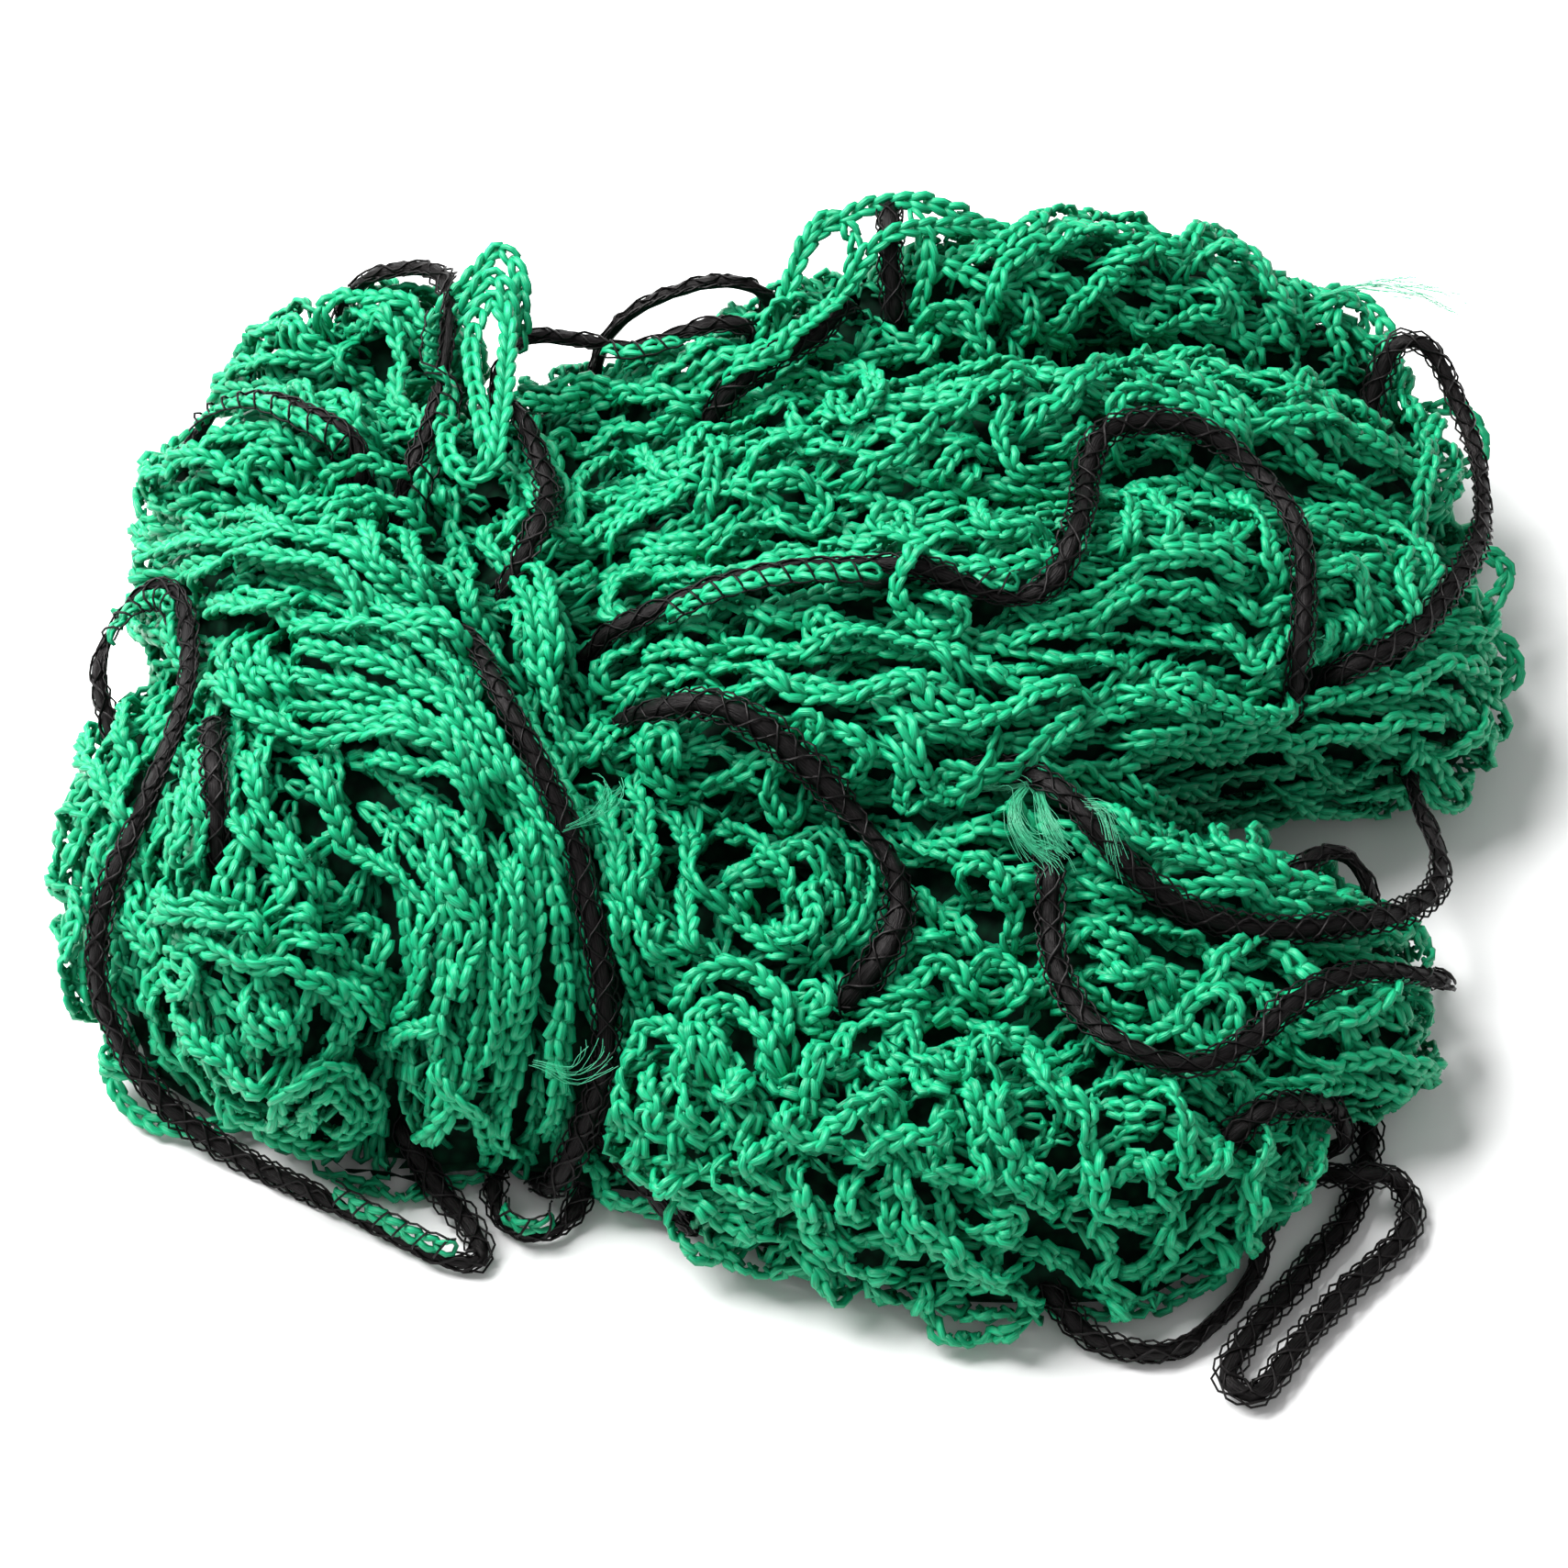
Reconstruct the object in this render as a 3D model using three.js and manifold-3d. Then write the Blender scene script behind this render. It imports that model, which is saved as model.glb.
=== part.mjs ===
// An elastic cargo net of knitted green strands, lying as a loosely bundled heap,
// with the black laced cord of its edge coming out of the heap in stretches.
// Millimetres, +Z up. The heap rests on z = 0, its long side along X and its front towards -Y.

import * as THREE from 'three';
import { mergeVertices } from 'three/addons/utils/BufferGeometryUtils.js';
import Module from 'manifold-3d';

const wasm = await Module();
wasm.setup();

// Driving dimensions

const STRAND = 3.6; // across one knitted strand
const EDGE_CORD = 5; // across the laced edge cord
const CLEARANCE = 0.55; // air between the edge cord and the net around it
const BUNCH_STEP = 13; // length of a bunch between two of its sections
const RIDGE_DEPTH = 2.2; // from the crest of a gathered ridge down to the valley beside it
const RIDGE_LUMP = 1.1; // how far the crest of a ridge rises and falls along the bunch
const LUMPS_ON_RIDGE = 2.6; // how often it does so over the bunch's length
const LUMP_SHIFT = 0.37; // how far the lumps of one ridge lie behind those of the next, in lumps
const SWAY_SHIFT = 0.21; // how far the sway of one ridge lies behind that of the next, in waves
const END_BLUNTNESS = 5; // how square the ends of a bunch are: 2 is an ellipse
const END_CROWDING = 0.08; // how much closer together the sections lie at the ends of a bunch
const FLOOR_WIDTH = 600; // side of the block that trims the heap flat
const FLOOR_DEPTH = 200; // thickness of the block that trims the heap flat at z = 0

const POINTS_ON_RIDGE = 2; // one in the valley, one on the crest
const POINTS_UNDER_BUNCH = 5; // around the plain underside of a bunch
const FEWEST_SECTIONS = 7; // along a short bunch
const FEWEST_STEPS = 4; // along a short tube
const CORD_SIDES = 10;
const GROOVE_SIDES = 6;
const STRAND_SIDES = 8;
const CORD_STEP = 8; // length of a cord between two of its rings
const STRAND_STEP = 7; // length of a strand between two of its rings
const WELD_DISTANCE = 1e-4; // points nearer than this are one point

const UP = new THREE.Vector3(0, 0, 1);

// Bunches of the heap. Each row is one gathered bunch of net: the route of its crest as [x, y, top],
// its width and height across, the ridges over its upper side, how far they sway around the
// bunch in degrees, and how often they sway along it.

const BUNCHES = [
  // The inner layers that the visible bunches lie on
  { crest: [[-92, 73, 46], [-86, 9, 58], [-83, -72, 34]],
    width: 72, height: 96, ridges: 2, sway: 0, waves: 1 },
  { crest: [[-60, 25, 52], [16, 35, 60], [80, 49, 48]],
    width: 126, height: 116, ridges: 2, sway: 0, waves: 1 },
  { crest: [[-44, -41, 46], [20, -55, 42], [78, -57, 32]],
    width: 76, height: 88, ridges: 2, sway: 0, waves: 1 },

  // The left lobe, with the band that bends round it from the neck
  { crest: [[-118, 19, 44], [-90, 0, 66], [-66, -17, 69], [-49, -37, 61], [-42, -61, 43], [-46, -75, 24]],
    width: 30, height: 52, ridges: 5, sway: 6, waves: 1.5 },
  { crest: [[-107, 3, 52], [-81, -21, 66], [-64, -45, 61], [-59, -64, 45], [-64, -75, 26]],
    width: 24, height: 48, ridges: 4, sway: 8, waves: 2.5 },
  { crest: [[-104, -5, 56], [-96, -35, 61], [-92, -55, 51], [-91, -71, 36]],
    width: 42, height: 60, ridges: 6, sway: 10, waves: 2.5 },
  { crest: [[-114, 13, 42], [-122, -13, 42], [-120, -41, 34], [-108, -63, 18]],
    width: 26, height: 44, ridges: 4, sway: 8, waves: 2 },
  { crest: [[-118, -53, 15], [-103, -68, 9], [-84, -77, 8], [-66, -81, 9], [-52, -75, 14]],
    width: 20, height: 18, ridges: 2, sway: 8, waves: 3 },

  // The crown at the back left, folded over above the neck
  { crest: [[-122, 31, 38], [-96, 18, 63], [-74, 12, 66], [-58, 7, 60]],
    width: 22, height: 44, ridges: 4, sway: 7, waves: 1.5 },
  { crest: [[-116, 61, 34], [-98, 52, 57], [-78, 49, 61], [-58, 43, 57]],
    width: 34, height: 56, ridges: 5, sway: 11, waves: 2 },
  { crest: [[-102, 92, 30], [-84, 91, 50], [-62, 85, 53]],
    width: 32, height: 50, ridges: 4, sway: 11, waves: 1.5 },
  { crest: [[-55, 81, 44], [-53, 35, 58], [-48, -3, 60], [-42, -25, 55]],
    width: 26, height: 54, ridges: 4, sway: 7, waves: 1.5 },

  // The saddle behind the neck, between the crown and the fan
  { crest: [[-64, 68, 42], [-44, 74, 48], [-24, 78, 51], [0, 82, 54]],
    width: 26, height: 50, ridges: 3, sway: 7, waves: 1.5 },

  // The fan that spreads from the gather to the right
  { crest: [[-44, 63, 46], [-8, 77, 57], [28, 92, 62], [66, 101, 57], [94, 97, 44], [110, 87, 28]],
    width: 38, height: 60, ridges: 6, sway: 8, waves: 2 },
  { crest: [[-44, 27, 56], [-4, 37, 64], [38, 49, 68], [80, 58, 58], [108, 57, 38], [122, 51, 22]],
    width: 42, height: 60, ridges: 6, sway: 7, waves: 2.5 },
  { crest: [[-44, 1, 57], [2, 5, 68], [44, 15, 69], [86, 24, 57], [114, 27, 39], [125, 29, 24]],
    width: 38, height: 58, ridges: 6, sway: 7, waves: 2 },
  { crest: [[-42, -21, 55], [0, -17, 64], [42, -13, 61], [78, 3, 50], [112, 11, 36], [127, 15, 20]],
    width: 30, height: 44, ridges: 5, sway: 7, waves: 2 },

  // The open rim that stands up at the back right
  { crest: [[86, 107, 46], [104, 97, 41], [117, 81, 35], [123, 63, 28]],
    width: 15, height: 15, ridges: 2, sway: 8, waves: 1.5 },

  // The two curls below the gather
  { crest: [[-30, -19, 52], [-30, -49, 52], [-14, -67, 46], [6, -67, 42], [14, -49, 46]],
    width: 18, height: 42, ridges: 3, sway: 6, waves: 2 },
  { crest: [[-15, -51, 48], [-8, -40, 54], [4, -44, 53], [4, -57, 49], [-8, -57, 48]],
    width: 12, height: 40, ridges: 3, sway: 0, waves: 1 },

  // The bunches of the right and the front
  { crest: [[10, -33, 50], [46, -41, 52], [80, -41, 40], [110, -35, 20]],
    width: 28, height: 46, ridges: 5, sway: 7, waves: 1.5 },
  { crest: [[30, -55, 44], [64, -61, 41], [92, -61, 32], [110, -55, 18]],
    width: 28, height: 44, ridges: 4, sway: 9, waves: 1.5 },
  { crest: [[-38, -67, 38], [-8, -83, 41], [26, -89, 41], [58, -87, 38], [88, -75, 24]],
    width: 42, height: 58, ridges: 6, sway: 10, waves: 3 },
  { crest: [[-36, -79, 14], [-4, -96, 16], [28, -106, 16], [56, -106, 15], [82, -89, 12]],
    width: 20, height: 26, ridges: 3, sway: 8, waves: 3 },
  { crest: [[-74, -78, 8], [-52, -80, 10], [-34, -82, 11], [-10, -92, 14]],
    width: 18, height: 20, ridges: 2, sway: 8, waves: 2 },
];

// Single strands that stand out from the heap as loops. Each row is a route of [x, y, z], with both
// ends sunk in a bunch.

const STRAND_LOOPS = [
  [[-62, 30, 46], [-61, 56, 62], [-61, 81, 64], [-58, 90, 65], [-55, 81, 64], [-55, 55, 63],
    [-57, 26, 46]],
  [[-114, -51, 14], [-124, -57, 5], [-122, -64, 3], [-112, -70, 3], [-96, -69, 5]],
  [[118, 51, 22], [131, 51, 22], [134, 48, 20], [130, 43, 17], [120, 41, 16]],
  [[116, 29, 22], [130, 31, 21], [134, 27, 17], [129, 22, 15], [118, 17, 16]],
  [[-6, 77, 52], [-1, 92, 61], [4, 100, 64], [9, 97, 63], [8, 87, 54]],
  [[96, 101, 36], [105, 108, 36], [113, 103, 33], [115, 91, 28]],
  [[118, 85, 26], [127, 85, 27], [131, 77, 24], [122, 69, 20]],
  [[-116, 67, 30], [-123, 73, 26], [-120, 81, 22], [-108, 81, 24]],
  [[72, 105, 44], [76, 117, 42], [84, 118, 40], [88, 107, 36]],
];

// The edge cord, in the stretches that come out of the heap. Each row is a route of [x, y, z] along the
// middle of the cord, which starts and ends inside the net.

const EDGE_CORDS = {
  edge_cord_crown: [[-89, 99, 42], [-83, 96, 52], [-75, 95, 55], [-69, 89, 59], [-67, 79, 61],
    [-67, 69, 61], [-68, 59, 60], [-70, 49, 58], [-73, 40, 56], [-75, 34, 52], [-76, 30, 45]],
  edge_cord_saddle: [[-57, 59, 52], [-53, 50, 62], [-49, 40, 60], [-47, 30, 60], [-49, 20, 62],
    [-54, 13, 55]],
  edge_cord_back: [[-57, 66, 38], [-58, 72, 49], [-53, 77, 54], [-42, 78, 52.5], [-33, 77, 52], [-23, 79, 54],
    [-16, 80, 55], [-11, 80, 54], [-8, 78, 46]],
  edge_cord_rear_arc: [[-41, 80, 37], [-38, 85, 46], [-32, 87, 52], [-26, 88, 55], [-19, 89, 57], [-12, 89, 57],
    [-7, 88, 54], [-4, 86, 46]],
  edge_cord_shoulder: [[-116, 63, 40], [-110, 61, 51], [-101, 57, 59], [-91, 50, 62], [-83, 44, 61],
    [-82, 39, 56], [-84, 35, 48]],
  edge_cord_left: [[-126, -3, 32], [-129, 7, 38], [-126, 16, 42], [-120, 20, 47], [-114, 15, 51],
    [-111, 3, 50], [-111, -10, 50], [-114, -23, 48], [-119, -34, 42], [-124, -44, 34], [-125, -54, 26],
    [-121, -62, 17], [-113, -69, 8], [-101, -76, 3.4], [-87, -84, 3], [-74, -92, 2.8], [-63, -98, 2.8],
    [-57, -98, 2.8], [-59, -91, 2.8], [-65, -84, 5], [-71, -76, 10]],
  edge_cord_lobe: [[-105, -16, 50], [-104, -24, 59], [-103, -34, 62], [-102, -42, 60], [-102, -48, 50]],
  edge_cord_band: [[-62, 5, 52], [-58, -10, 64], [-53, -24, 67], [-46, -37, 63], [-40, -49, 56],
    [-37, -60, 49], [-35, -69, 41], [-35, -77, 31], [-39, -83, 20], [-44, -87, 10], [-47, -83, 3.5]],
  edge_cord_foot: [[-55, -82, 4], [-54, -89, 3], [-49, -93, 2.8], [-43, -91, 2.8], [-39, -84, 4]],
  edge_cord_foot_right: [[-46, -66, 16], [-43, -70, 16.5], [-40, -74, 15.5], [-37, -78, 13.5], [-33, -83, 12.5],
    [-28, -88.5, 12], [-23, -93, 8], [-20, -92, 3.5]],
  edge_cord_gather: [[-33, -13, 48], [-26, -19, 58], [-19, -20, 61], [-10, -24, 61], [0, -31, 57],
    [9, -39, 51], [15, -47, 48], [16, -54, 45], [13, -62, 43], [7, -67, 36]],
  edge_cord_fan: [[-42, 1, 44], [-35, 1, 56], [-28, 1, 61], [-18, 3, 66], [-4, 4, 70], [9, 4, 71],
    [20, 3, 71], [29, 1, 68], [37, 0, 66], [44, 4, 67], [48, 13, 70], [50, 23, 67], [51, 32, 64],
    [54, 41, 65], [63, 46, 64], [73, 45, 62], [83, 37, 59], [89, 24, 59], [90, 13, 55], [89, 2, 50],
    [88, -4, 40]],
  edge_cord_right_arch: [[108, 75, 24], [110, 83, 35], [115, 88, 43], [120, 86, 42], [125, 77, 37],
    [128, 65, 34], [128, 53, 34], [126, 41, 37], [121, 29, 41], [114, 17, 42], [105, 7, 44], [97, 3, 43],
    [92, 4, 34]],
  edge_cord_right_upper: [[21, -26, 44], [29, -28, 52], [37, -29, 53], [44, -34, 54], [50, -42, 53],
    [58, -49, 48], [69, -53, 42], [82, -52, 37], [96, -47, 33], [106, -40, 27], [113, -31, 22],
    [115, -22, 20], [113, -13, 20], [111, -2, 19]],
  edge_cord_right_arc: [[86, -38, 33], [91, -31, 32], [97, -29, 29], [101, -33, 24], [100, -39, 16]],
  edge_cord_right_lower: [[40, -41, 44], [42, -48, 50], [42, -56, 46], [43, -65, 43], [47, -73, 41],
    [54, -80, 41], [65, -83, 39], [76, -76, 37], [85, -67, 37], [96, -59, 34], [106, -54, 27],
    [113, -50, 20], [113, -44, 13], [107, -42, 10]],
  edge_cord_right_front: [[72, -89, 26], [79, -85, 29], [87, -80, 24], [93, -76, 16], [94, -78, 9],
    [88, -77, 6]],
  edge_cord_front: [[41, -107, 8], [49, -115, 4], [62, -117, 2.8], [71, -110, 2.8], [78, -100, 3],
    [80, -89, 8]],
  edge_cord_rear: [[17, 83, 54], [16, 91, 63], [16, 99, 66], [16, 106, 61], [17, 108, 50], [18, 104, 40]],
  edge_cord_rear_low: [[9, 85, 52], [7, 80, 60], [2, 73, 59], [-5, 69, 58], [-13, 64, 55], [-19, 61, 46]],
};

// The doubled loop of the edge cord that slips out of the heap and lies on the surface in front of it.

const LOOSE_BIGHT = [[84, -82, 6], [92, -83, 7], [95, -84, 8], [99, -84, 8.4], [103, -83, 6],
  [106, -86, 3], [105, -92, 2.8], [100, -98, 2.8], [94, -104, 2.8], [89, -110, 2.8], [84, -116, 2.8],
  [80, -122, 2.8], [76, -126, 2.8], [72, -123, 2.8], [74, -117, 2.8], [79, -110, 2.8], [84, -104, 2.8],
  [89, -97, 2.8], [94, -91, 2.8], [97, -84, 2.8], [99, -77, 2.8], [100, -70, 3], [98, -63, 7]];

// Helpers

function toSolid(geometry) {
  const bare = geometry.clone();
  bare.deleteAttribute('normal');
  bare.deleteAttribute('uv');
  const merged = mergeVertices(bare, WELD_DISTANCE);
  return new wasm.Manifold(new wasm.Mesh({
    numProp: 3,
    vertProperties: new Float32Array(merged.getAttribute('position').array),
    triVerts: new Uint32Array(merged.getIndex().array),
  }));
}

function toGeometry(solid) {
  const mesh = solid.getMesh();
  const geometry = new THREE.BufferGeometry();
  geometry.setAttribute('position', new THREE.BufferAttribute(new Float32Array(mesh.vertProperties), 3));
  geometry.setIndex(new THREE.BufferAttribute(new Uint32Array(mesh.triVerts), 1));
  geometry.computeVertexNormals();
  return geometry;
}

// How full a bunch is at a share of its length: rounded off at both ends.
function fullness(along) {
  return Math.sqrt(Math.max(0, 1 - Math.abs(2 * along - 1) ** END_BLUNTNESS));
}

// A sphere drawn out along the crest's route, with ridges over its upper half.
function bunchGeometry({ crest, width, height, ridges, sway, waves }) {
  const middles = crest.map(([x, y, top]) => new THREE.Vector3(x, y, top - height / 2));
  const route = new THREE.CatmullRomCurve3(middles);
  const steps = Math.max(FEWEST_SECTIONS, Math.round(route.getLength() / BUNCH_STEP));
  const pointsAbove = ridges * POINTS_ON_RIDGE;
  const around = pointsAbove + POINTS_UNDER_BUNCH;
  const geometry = new THREE.SphereGeometry(1, around, steps);
  const position = geometry.getAttribute('position');
  const uv = geometry.getAttribute('uv');
  for (let i = 0; i < position.count; i += 1) {
    const share = 1 - uv.getY(i);
    const along = share - END_CROWDING * Math.sin(2 * Math.PI * share);
    const spot = Math.round(uv.getX(i) * around) % around;
    const above = spot <= pointsAbove;
    const turn = above
      ? Math.PI * (spot / pointsAbove)
      : Math.PI * (1 + (spot - pointsAbove) / POINTS_UNDER_BUNCH);
    const ridge = Math.floor(spot / POINTS_ON_RIDGE);
    const swayPhase = waves * along + SWAY_SHIFT * ridge;
    const swing = THREE.MathUtils.degToRad(sway) * Math.sin(2 * Math.PI * swayPhase);
    const lumpPhase = LUMPS_ON_RIDGE * along + LUMP_SHIFT * ridge;
    const inValley = above && spot % POINTS_ON_RIDGE === 0;
    const onCrest = above && !inValley;
    const lump = onCrest ? RIDGE_LUMP * Math.sin(2 * Math.PI * lumpPhase) : 0;
    const dip = inValley ? RIDGE_DEPTH : 0;
    const fill = fullness(along);
    const grow = (lump - dip) * fill;

    const middle = route.getPointAt(along);
    const ahead = route.getTangentAt(along);
    const side = new THREE.Vector3().crossVectors(UP, ahead).normalize();
    const over = new THREE.Vector3().crossVectors(ahead, side);
    const point = middle
      .addScaledVector(side, -Math.cos(turn + swing) * (width / 2 * fill + grow))
      .addScaledVector(over, Math.sin(turn + swing) * (height / 2 * fill + grow));
    position.setXYZ(i, point.x, point.y, point.z);
  }
  return geometry;
}

// The smooth route of a strand, a cord or a groove.
class Route extends THREE.CatmullRomCurve3 {
  constructor(points) {
    super(points.map((point) => new THREE.Vector3(...point)));
  }
}

// The route of a groove has the rings of its cord, the two at the ends drawn out to clear the cut ends.
class GrooveRoute extends Route {
  getSpacedPoints(divisions) {
    const points = super.getSpacedPoints(divisions);
    points.at(0).addScaledVector(this.getTangentAt(0), -CLEARANCE);
    points.at(-1).addScaledVector(this.getTangentAt(1), CLEARANCE);
    return points;
  }
}

// A round tube of a given thickness along a route. A full arc gets two sides for each curve segment.
function tubeGeometry(route, thickness, sides, step) {
  const section = new THREE.Shape();
  section.absarc(0, 0, thickness / 2, 0, 2 * Math.PI, false);
  return new THREE.ExtrudeGeometry(section, {
    curveSegments: sides / 2,
    steps: Math.max(FEWEST_STEPS, Math.round(route.getLength() / step)),
    extrudePath: route,
    bevelEnabled: false,
  });
}

// The net: every bunch and loop in one solid, flat where it rests, with a groove for each stretch of cord.

function heapSolid() {
  const floor = new THREE.BoxGeometry(FLOOR_WIDTH, FLOOR_WIDTH, FLOOR_DEPTH);
  floor.translate(0, 0, -FLOOR_DEPTH / 2);
  const bunches = BUNCHES.map((row) => toSolid(bunchGeometry(row)));
  const loops = STRAND_LOOPS.map((points) => {
    return toSolid(tubeGeometry(new Route(points), STRAND, STRAND_SIDES, STRAND_STEP));
  });
  return [...bunches, ...loops]
    .reduce((heap, piece) => heap.add(piece))
    .subtract(toSolid(floor));
}

// A groove has flat sides, so its corners lie further out than the cord's clearance.
function grooveSolid(points) {
  const across = (EDGE_CORD + 2 * CLEARANCE) / Math.cos(Math.PI / GROOVE_SIDES);
  return toSolid(tubeGeometry(new GrooveRoute(points), across, GROOVE_SIDES, CORD_STEP));
}

function pieceMesh(name, geometry, material) {
  const mesh = new THREE.Mesh(geometry, material);
  mesh.name = name;
  return mesh;
}

const greenYarn = () => new THREE.MeshStandardMaterial({ color: 0x1fa565, roughness: 0.55, metalness: 0 });
const blackYarn = () => new THREE.MeshStandardMaterial({ color: 0x1d191b, roughness: 0.6, metalness: 0 });

const cordRoutes = { ...EDGE_CORDS, loose_bight: LOOSE_BIGHT };
const grooves = Object.values(cordRoutes).map(grooveSolid);
const netSolid = grooves.reduce((solid, groove) => solid.subtract(groove), heapSolid());

const group = new THREE.Group();
group.add(pieceMesh('net', toGeometry(netSolid), greenYarn()));
for (const [name, points] of Object.entries(cordRoutes)) {
  const cord = tubeGeometry(new Route(points), EDGE_CORD, CORD_SIDES, CORD_STEP);
  group.add(pieceMesh(name, cord, blackYarn()));
}

export default group;
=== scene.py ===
# %% [markdown]
# # A bundled elastic cargo net
# The net is knitted, not knotted: every side of every mesh is a chain of yarn loops, each drawn
# through the one before. It lies as a loose heap, and the black laced cord of its edge winds in and
# out of it. The heap, its bunches and the cord's route come from the solids, in millimetres there
# and in metres here. This script puts the knitted strands, the lacing and the yarn on them.

# %% Load the frame
import math

import bpy
import numpy as np
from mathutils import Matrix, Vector
from mathutils.bvhtree import BVHTree
from mathutils.kdtree import KDTree
from mathutils.noise import noise


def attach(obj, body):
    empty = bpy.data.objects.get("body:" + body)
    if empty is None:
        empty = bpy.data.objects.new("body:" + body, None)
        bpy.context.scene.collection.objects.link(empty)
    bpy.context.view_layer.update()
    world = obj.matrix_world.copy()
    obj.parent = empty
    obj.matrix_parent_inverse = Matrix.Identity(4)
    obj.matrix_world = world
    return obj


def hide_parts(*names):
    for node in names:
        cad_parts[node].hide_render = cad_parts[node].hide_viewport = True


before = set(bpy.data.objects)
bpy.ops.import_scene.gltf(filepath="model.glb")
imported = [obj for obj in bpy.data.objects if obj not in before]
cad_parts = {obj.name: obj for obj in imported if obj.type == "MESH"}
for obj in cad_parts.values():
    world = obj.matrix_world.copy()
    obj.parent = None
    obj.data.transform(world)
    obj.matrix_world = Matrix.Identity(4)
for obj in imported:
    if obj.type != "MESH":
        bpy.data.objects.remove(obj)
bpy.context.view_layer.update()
MM = 0.001

# %% [markdown]
# ## The camera
# The heap is seen from half above. A long lens keeps its sides nearly parallel, and the picture is
# square. The same numbers turn a pixel of the picture into a ray, which is how single strands that
# stand out are laid on the heap later.

# %% Camera
AIM = Vector((-0.004, -0.011, 0.028))
CAMERA_DISTANCE = 0.9
ELEVATION = math.radians(50)
IMAGE_SIDE = 1709  # pixels
IMAGE_MIDDLE = (IMAGE_SIDE - 1) / 2
FOCAL_LENGTH = 5400  # pixels
SENSOR = 36  # millimetres

away = Vector((0, -math.cos(ELEVATION), math.sin(ELEVATION)))
image_right = Vector((1, 0, 0))
image_up = Vector((0, math.sin(ELEVATION), math.cos(ELEVATION)))


def linked(name, data):
    """A new object that is part of the scene."""
    result = bpy.data.objects.new(name, data)
    bpy.context.collection.objects.link(result)
    return result


camera_data = bpy.data.cameras.new("photo_camera")
camera_data.sensor_width = SENSOR
camera_data.lens = SENSOR * FOCAL_LENGTH / IMAGE_SIDE
camera = linked("photo_camera", camera_data)
camera.location = AIM + CAMERA_DISTANCE * away
camera.rotation_euler = (math.pi / 2 - ELEVATION, 0, 0)
bpy.context.scene.camera = camera


def pixel_ray(u, v):
    """The direction in which the camera sees a pixel."""
    ray = -FOCAL_LENGTH * away + (u - IMAGE_MIDDLE) * image_right - (v - IMAGE_MIDDLE) * image_up
    return ray.normalized()


def pixels_of(points):
    """Where the camera sees points, in pixels."""
    offset = np.asarray(points) - np.array(camera.location)
    depth = -offset @ np.array(away)
    across, height = offset @ np.array(image_right), offset @ np.array(image_up)
    return np.column_stack([IMAGE_MIDDLE + FOCAL_LENGTH * across / depth,
                            IMAGE_MIDDLE - FOCAL_LENGTH * height / depth])


print("lens:", round(camera_data.lens, 2), "mm")

# %% [markdown]
# ## Smooth lines from a few points
# Cords and strands are drawn as lines through a few listed points. A centripetal spline passes
# through every point without overshooting, and it is the same spline that the solids use, so a cord
# drawn here lies exactly in its groove.

# %% Lines
POINTS_BETWEEN = 24
SHORTEST_SIDE = 1e-6  # keeps the spline whole where two points fall together


def run_of(line):
    """How far along a line each of its points lies."""
    lengths = np.linalg.norm(np.diff(line, axis=0), axis=1)
    return np.concatenate([[0], np.cumsum(lengths)])


def evenly(line, step):
    """The same line with points a fixed step apart."""
    run = run_of(line)
    count = max(3, round(run[-1] / step) + 1)
    even = np.linspace(0, run[-1], count)
    return np.column_stack([np.interp(even, run, line[:, axis]) for axis in range(3)])


def smooth_line(points, step):
    """An evenly spaced line, in metres, through points in metres."""
    points = np.asarray(points, float)
    points = np.vstack([2 * points[0] - points[1], points, 2 * points[-1] - points[-2]])
    pieces = []
    for a, b, c, d in zip(points, points[1:], points[2:], points[3:]):
        t1 = max(SHORTEST_SIDE, np.linalg.norm(b - a)) ** 0.5
        t2 = t1 + max(SHORTEST_SIDE, np.linalg.norm(c - b)) ** 0.5
        t3 = t2 + max(SHORTEST_SIDE, np.linalg.norm(d - c)) ** 0.5
        t = np.linspace(t1, t2, POINTS_BETWEEN, endpoint=False)[:, None]
        ab = (t1 - t) / t1 * a + t / t1 * b
        bc = (t2 - t) / (t2 - t1) * b + (t - t1) / (t2 - t1) * c
        cd = (t3 - t) / (t3 - t2) * c + (t - t2) / (t3 - t2) * d
        abc = (t2 - t) / t2 * ab + t / t2 * bc
        bcd = (t3 - t) / (t3 - t1) * bc + (t - t1) / (t3 - t1) * cd
        pieces.append((t2 - t) / (t2 - t1) * abc + (t - t1) / (t2 - t1) * bcd)
    pieces.append(points[-2:-1])
    return evenly(np.vstack(pieces), step)


def route_line(route, step):
    """The same for a route in millimetres."""
    return smooth_line(np.array(route, float) * MM, step)


def unit(vectors):
    return vectors / np.maximum(1e-9, np.linalg.norm(vectors, axis=-1, keepdims=True))


def frames(line, up):
    """Forward, sideways and upright unit vectors along a line whose upper side faces up."""
    forward = unit(np.gradient(line, axis=0))
    side = unit(np.cross(up, forward))
    return forward, side, np.cross(forward, side)


def facing(direction, line):
    """The same direction for every point of a line."""
    return np.tile(tuple(direction), (len(line), 1))


def soften(values, rounds):
    """Evens out a row of points or vectors, keeping its two ends."""
    values = np.array(values, float)
    for _ in range(rounds):
        values[1:-1] = 0.25 * values[:-2] + 0.5 * values[1:-1] + 0.25 * values[2:]
    return values


# %% [markdown]
# ## The edge cord's routes
# These are the routes of the solids, stretch by stretch, in millimetres. The last one is the doubled
# loop that slips out at the front and lies on the surface.

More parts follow.
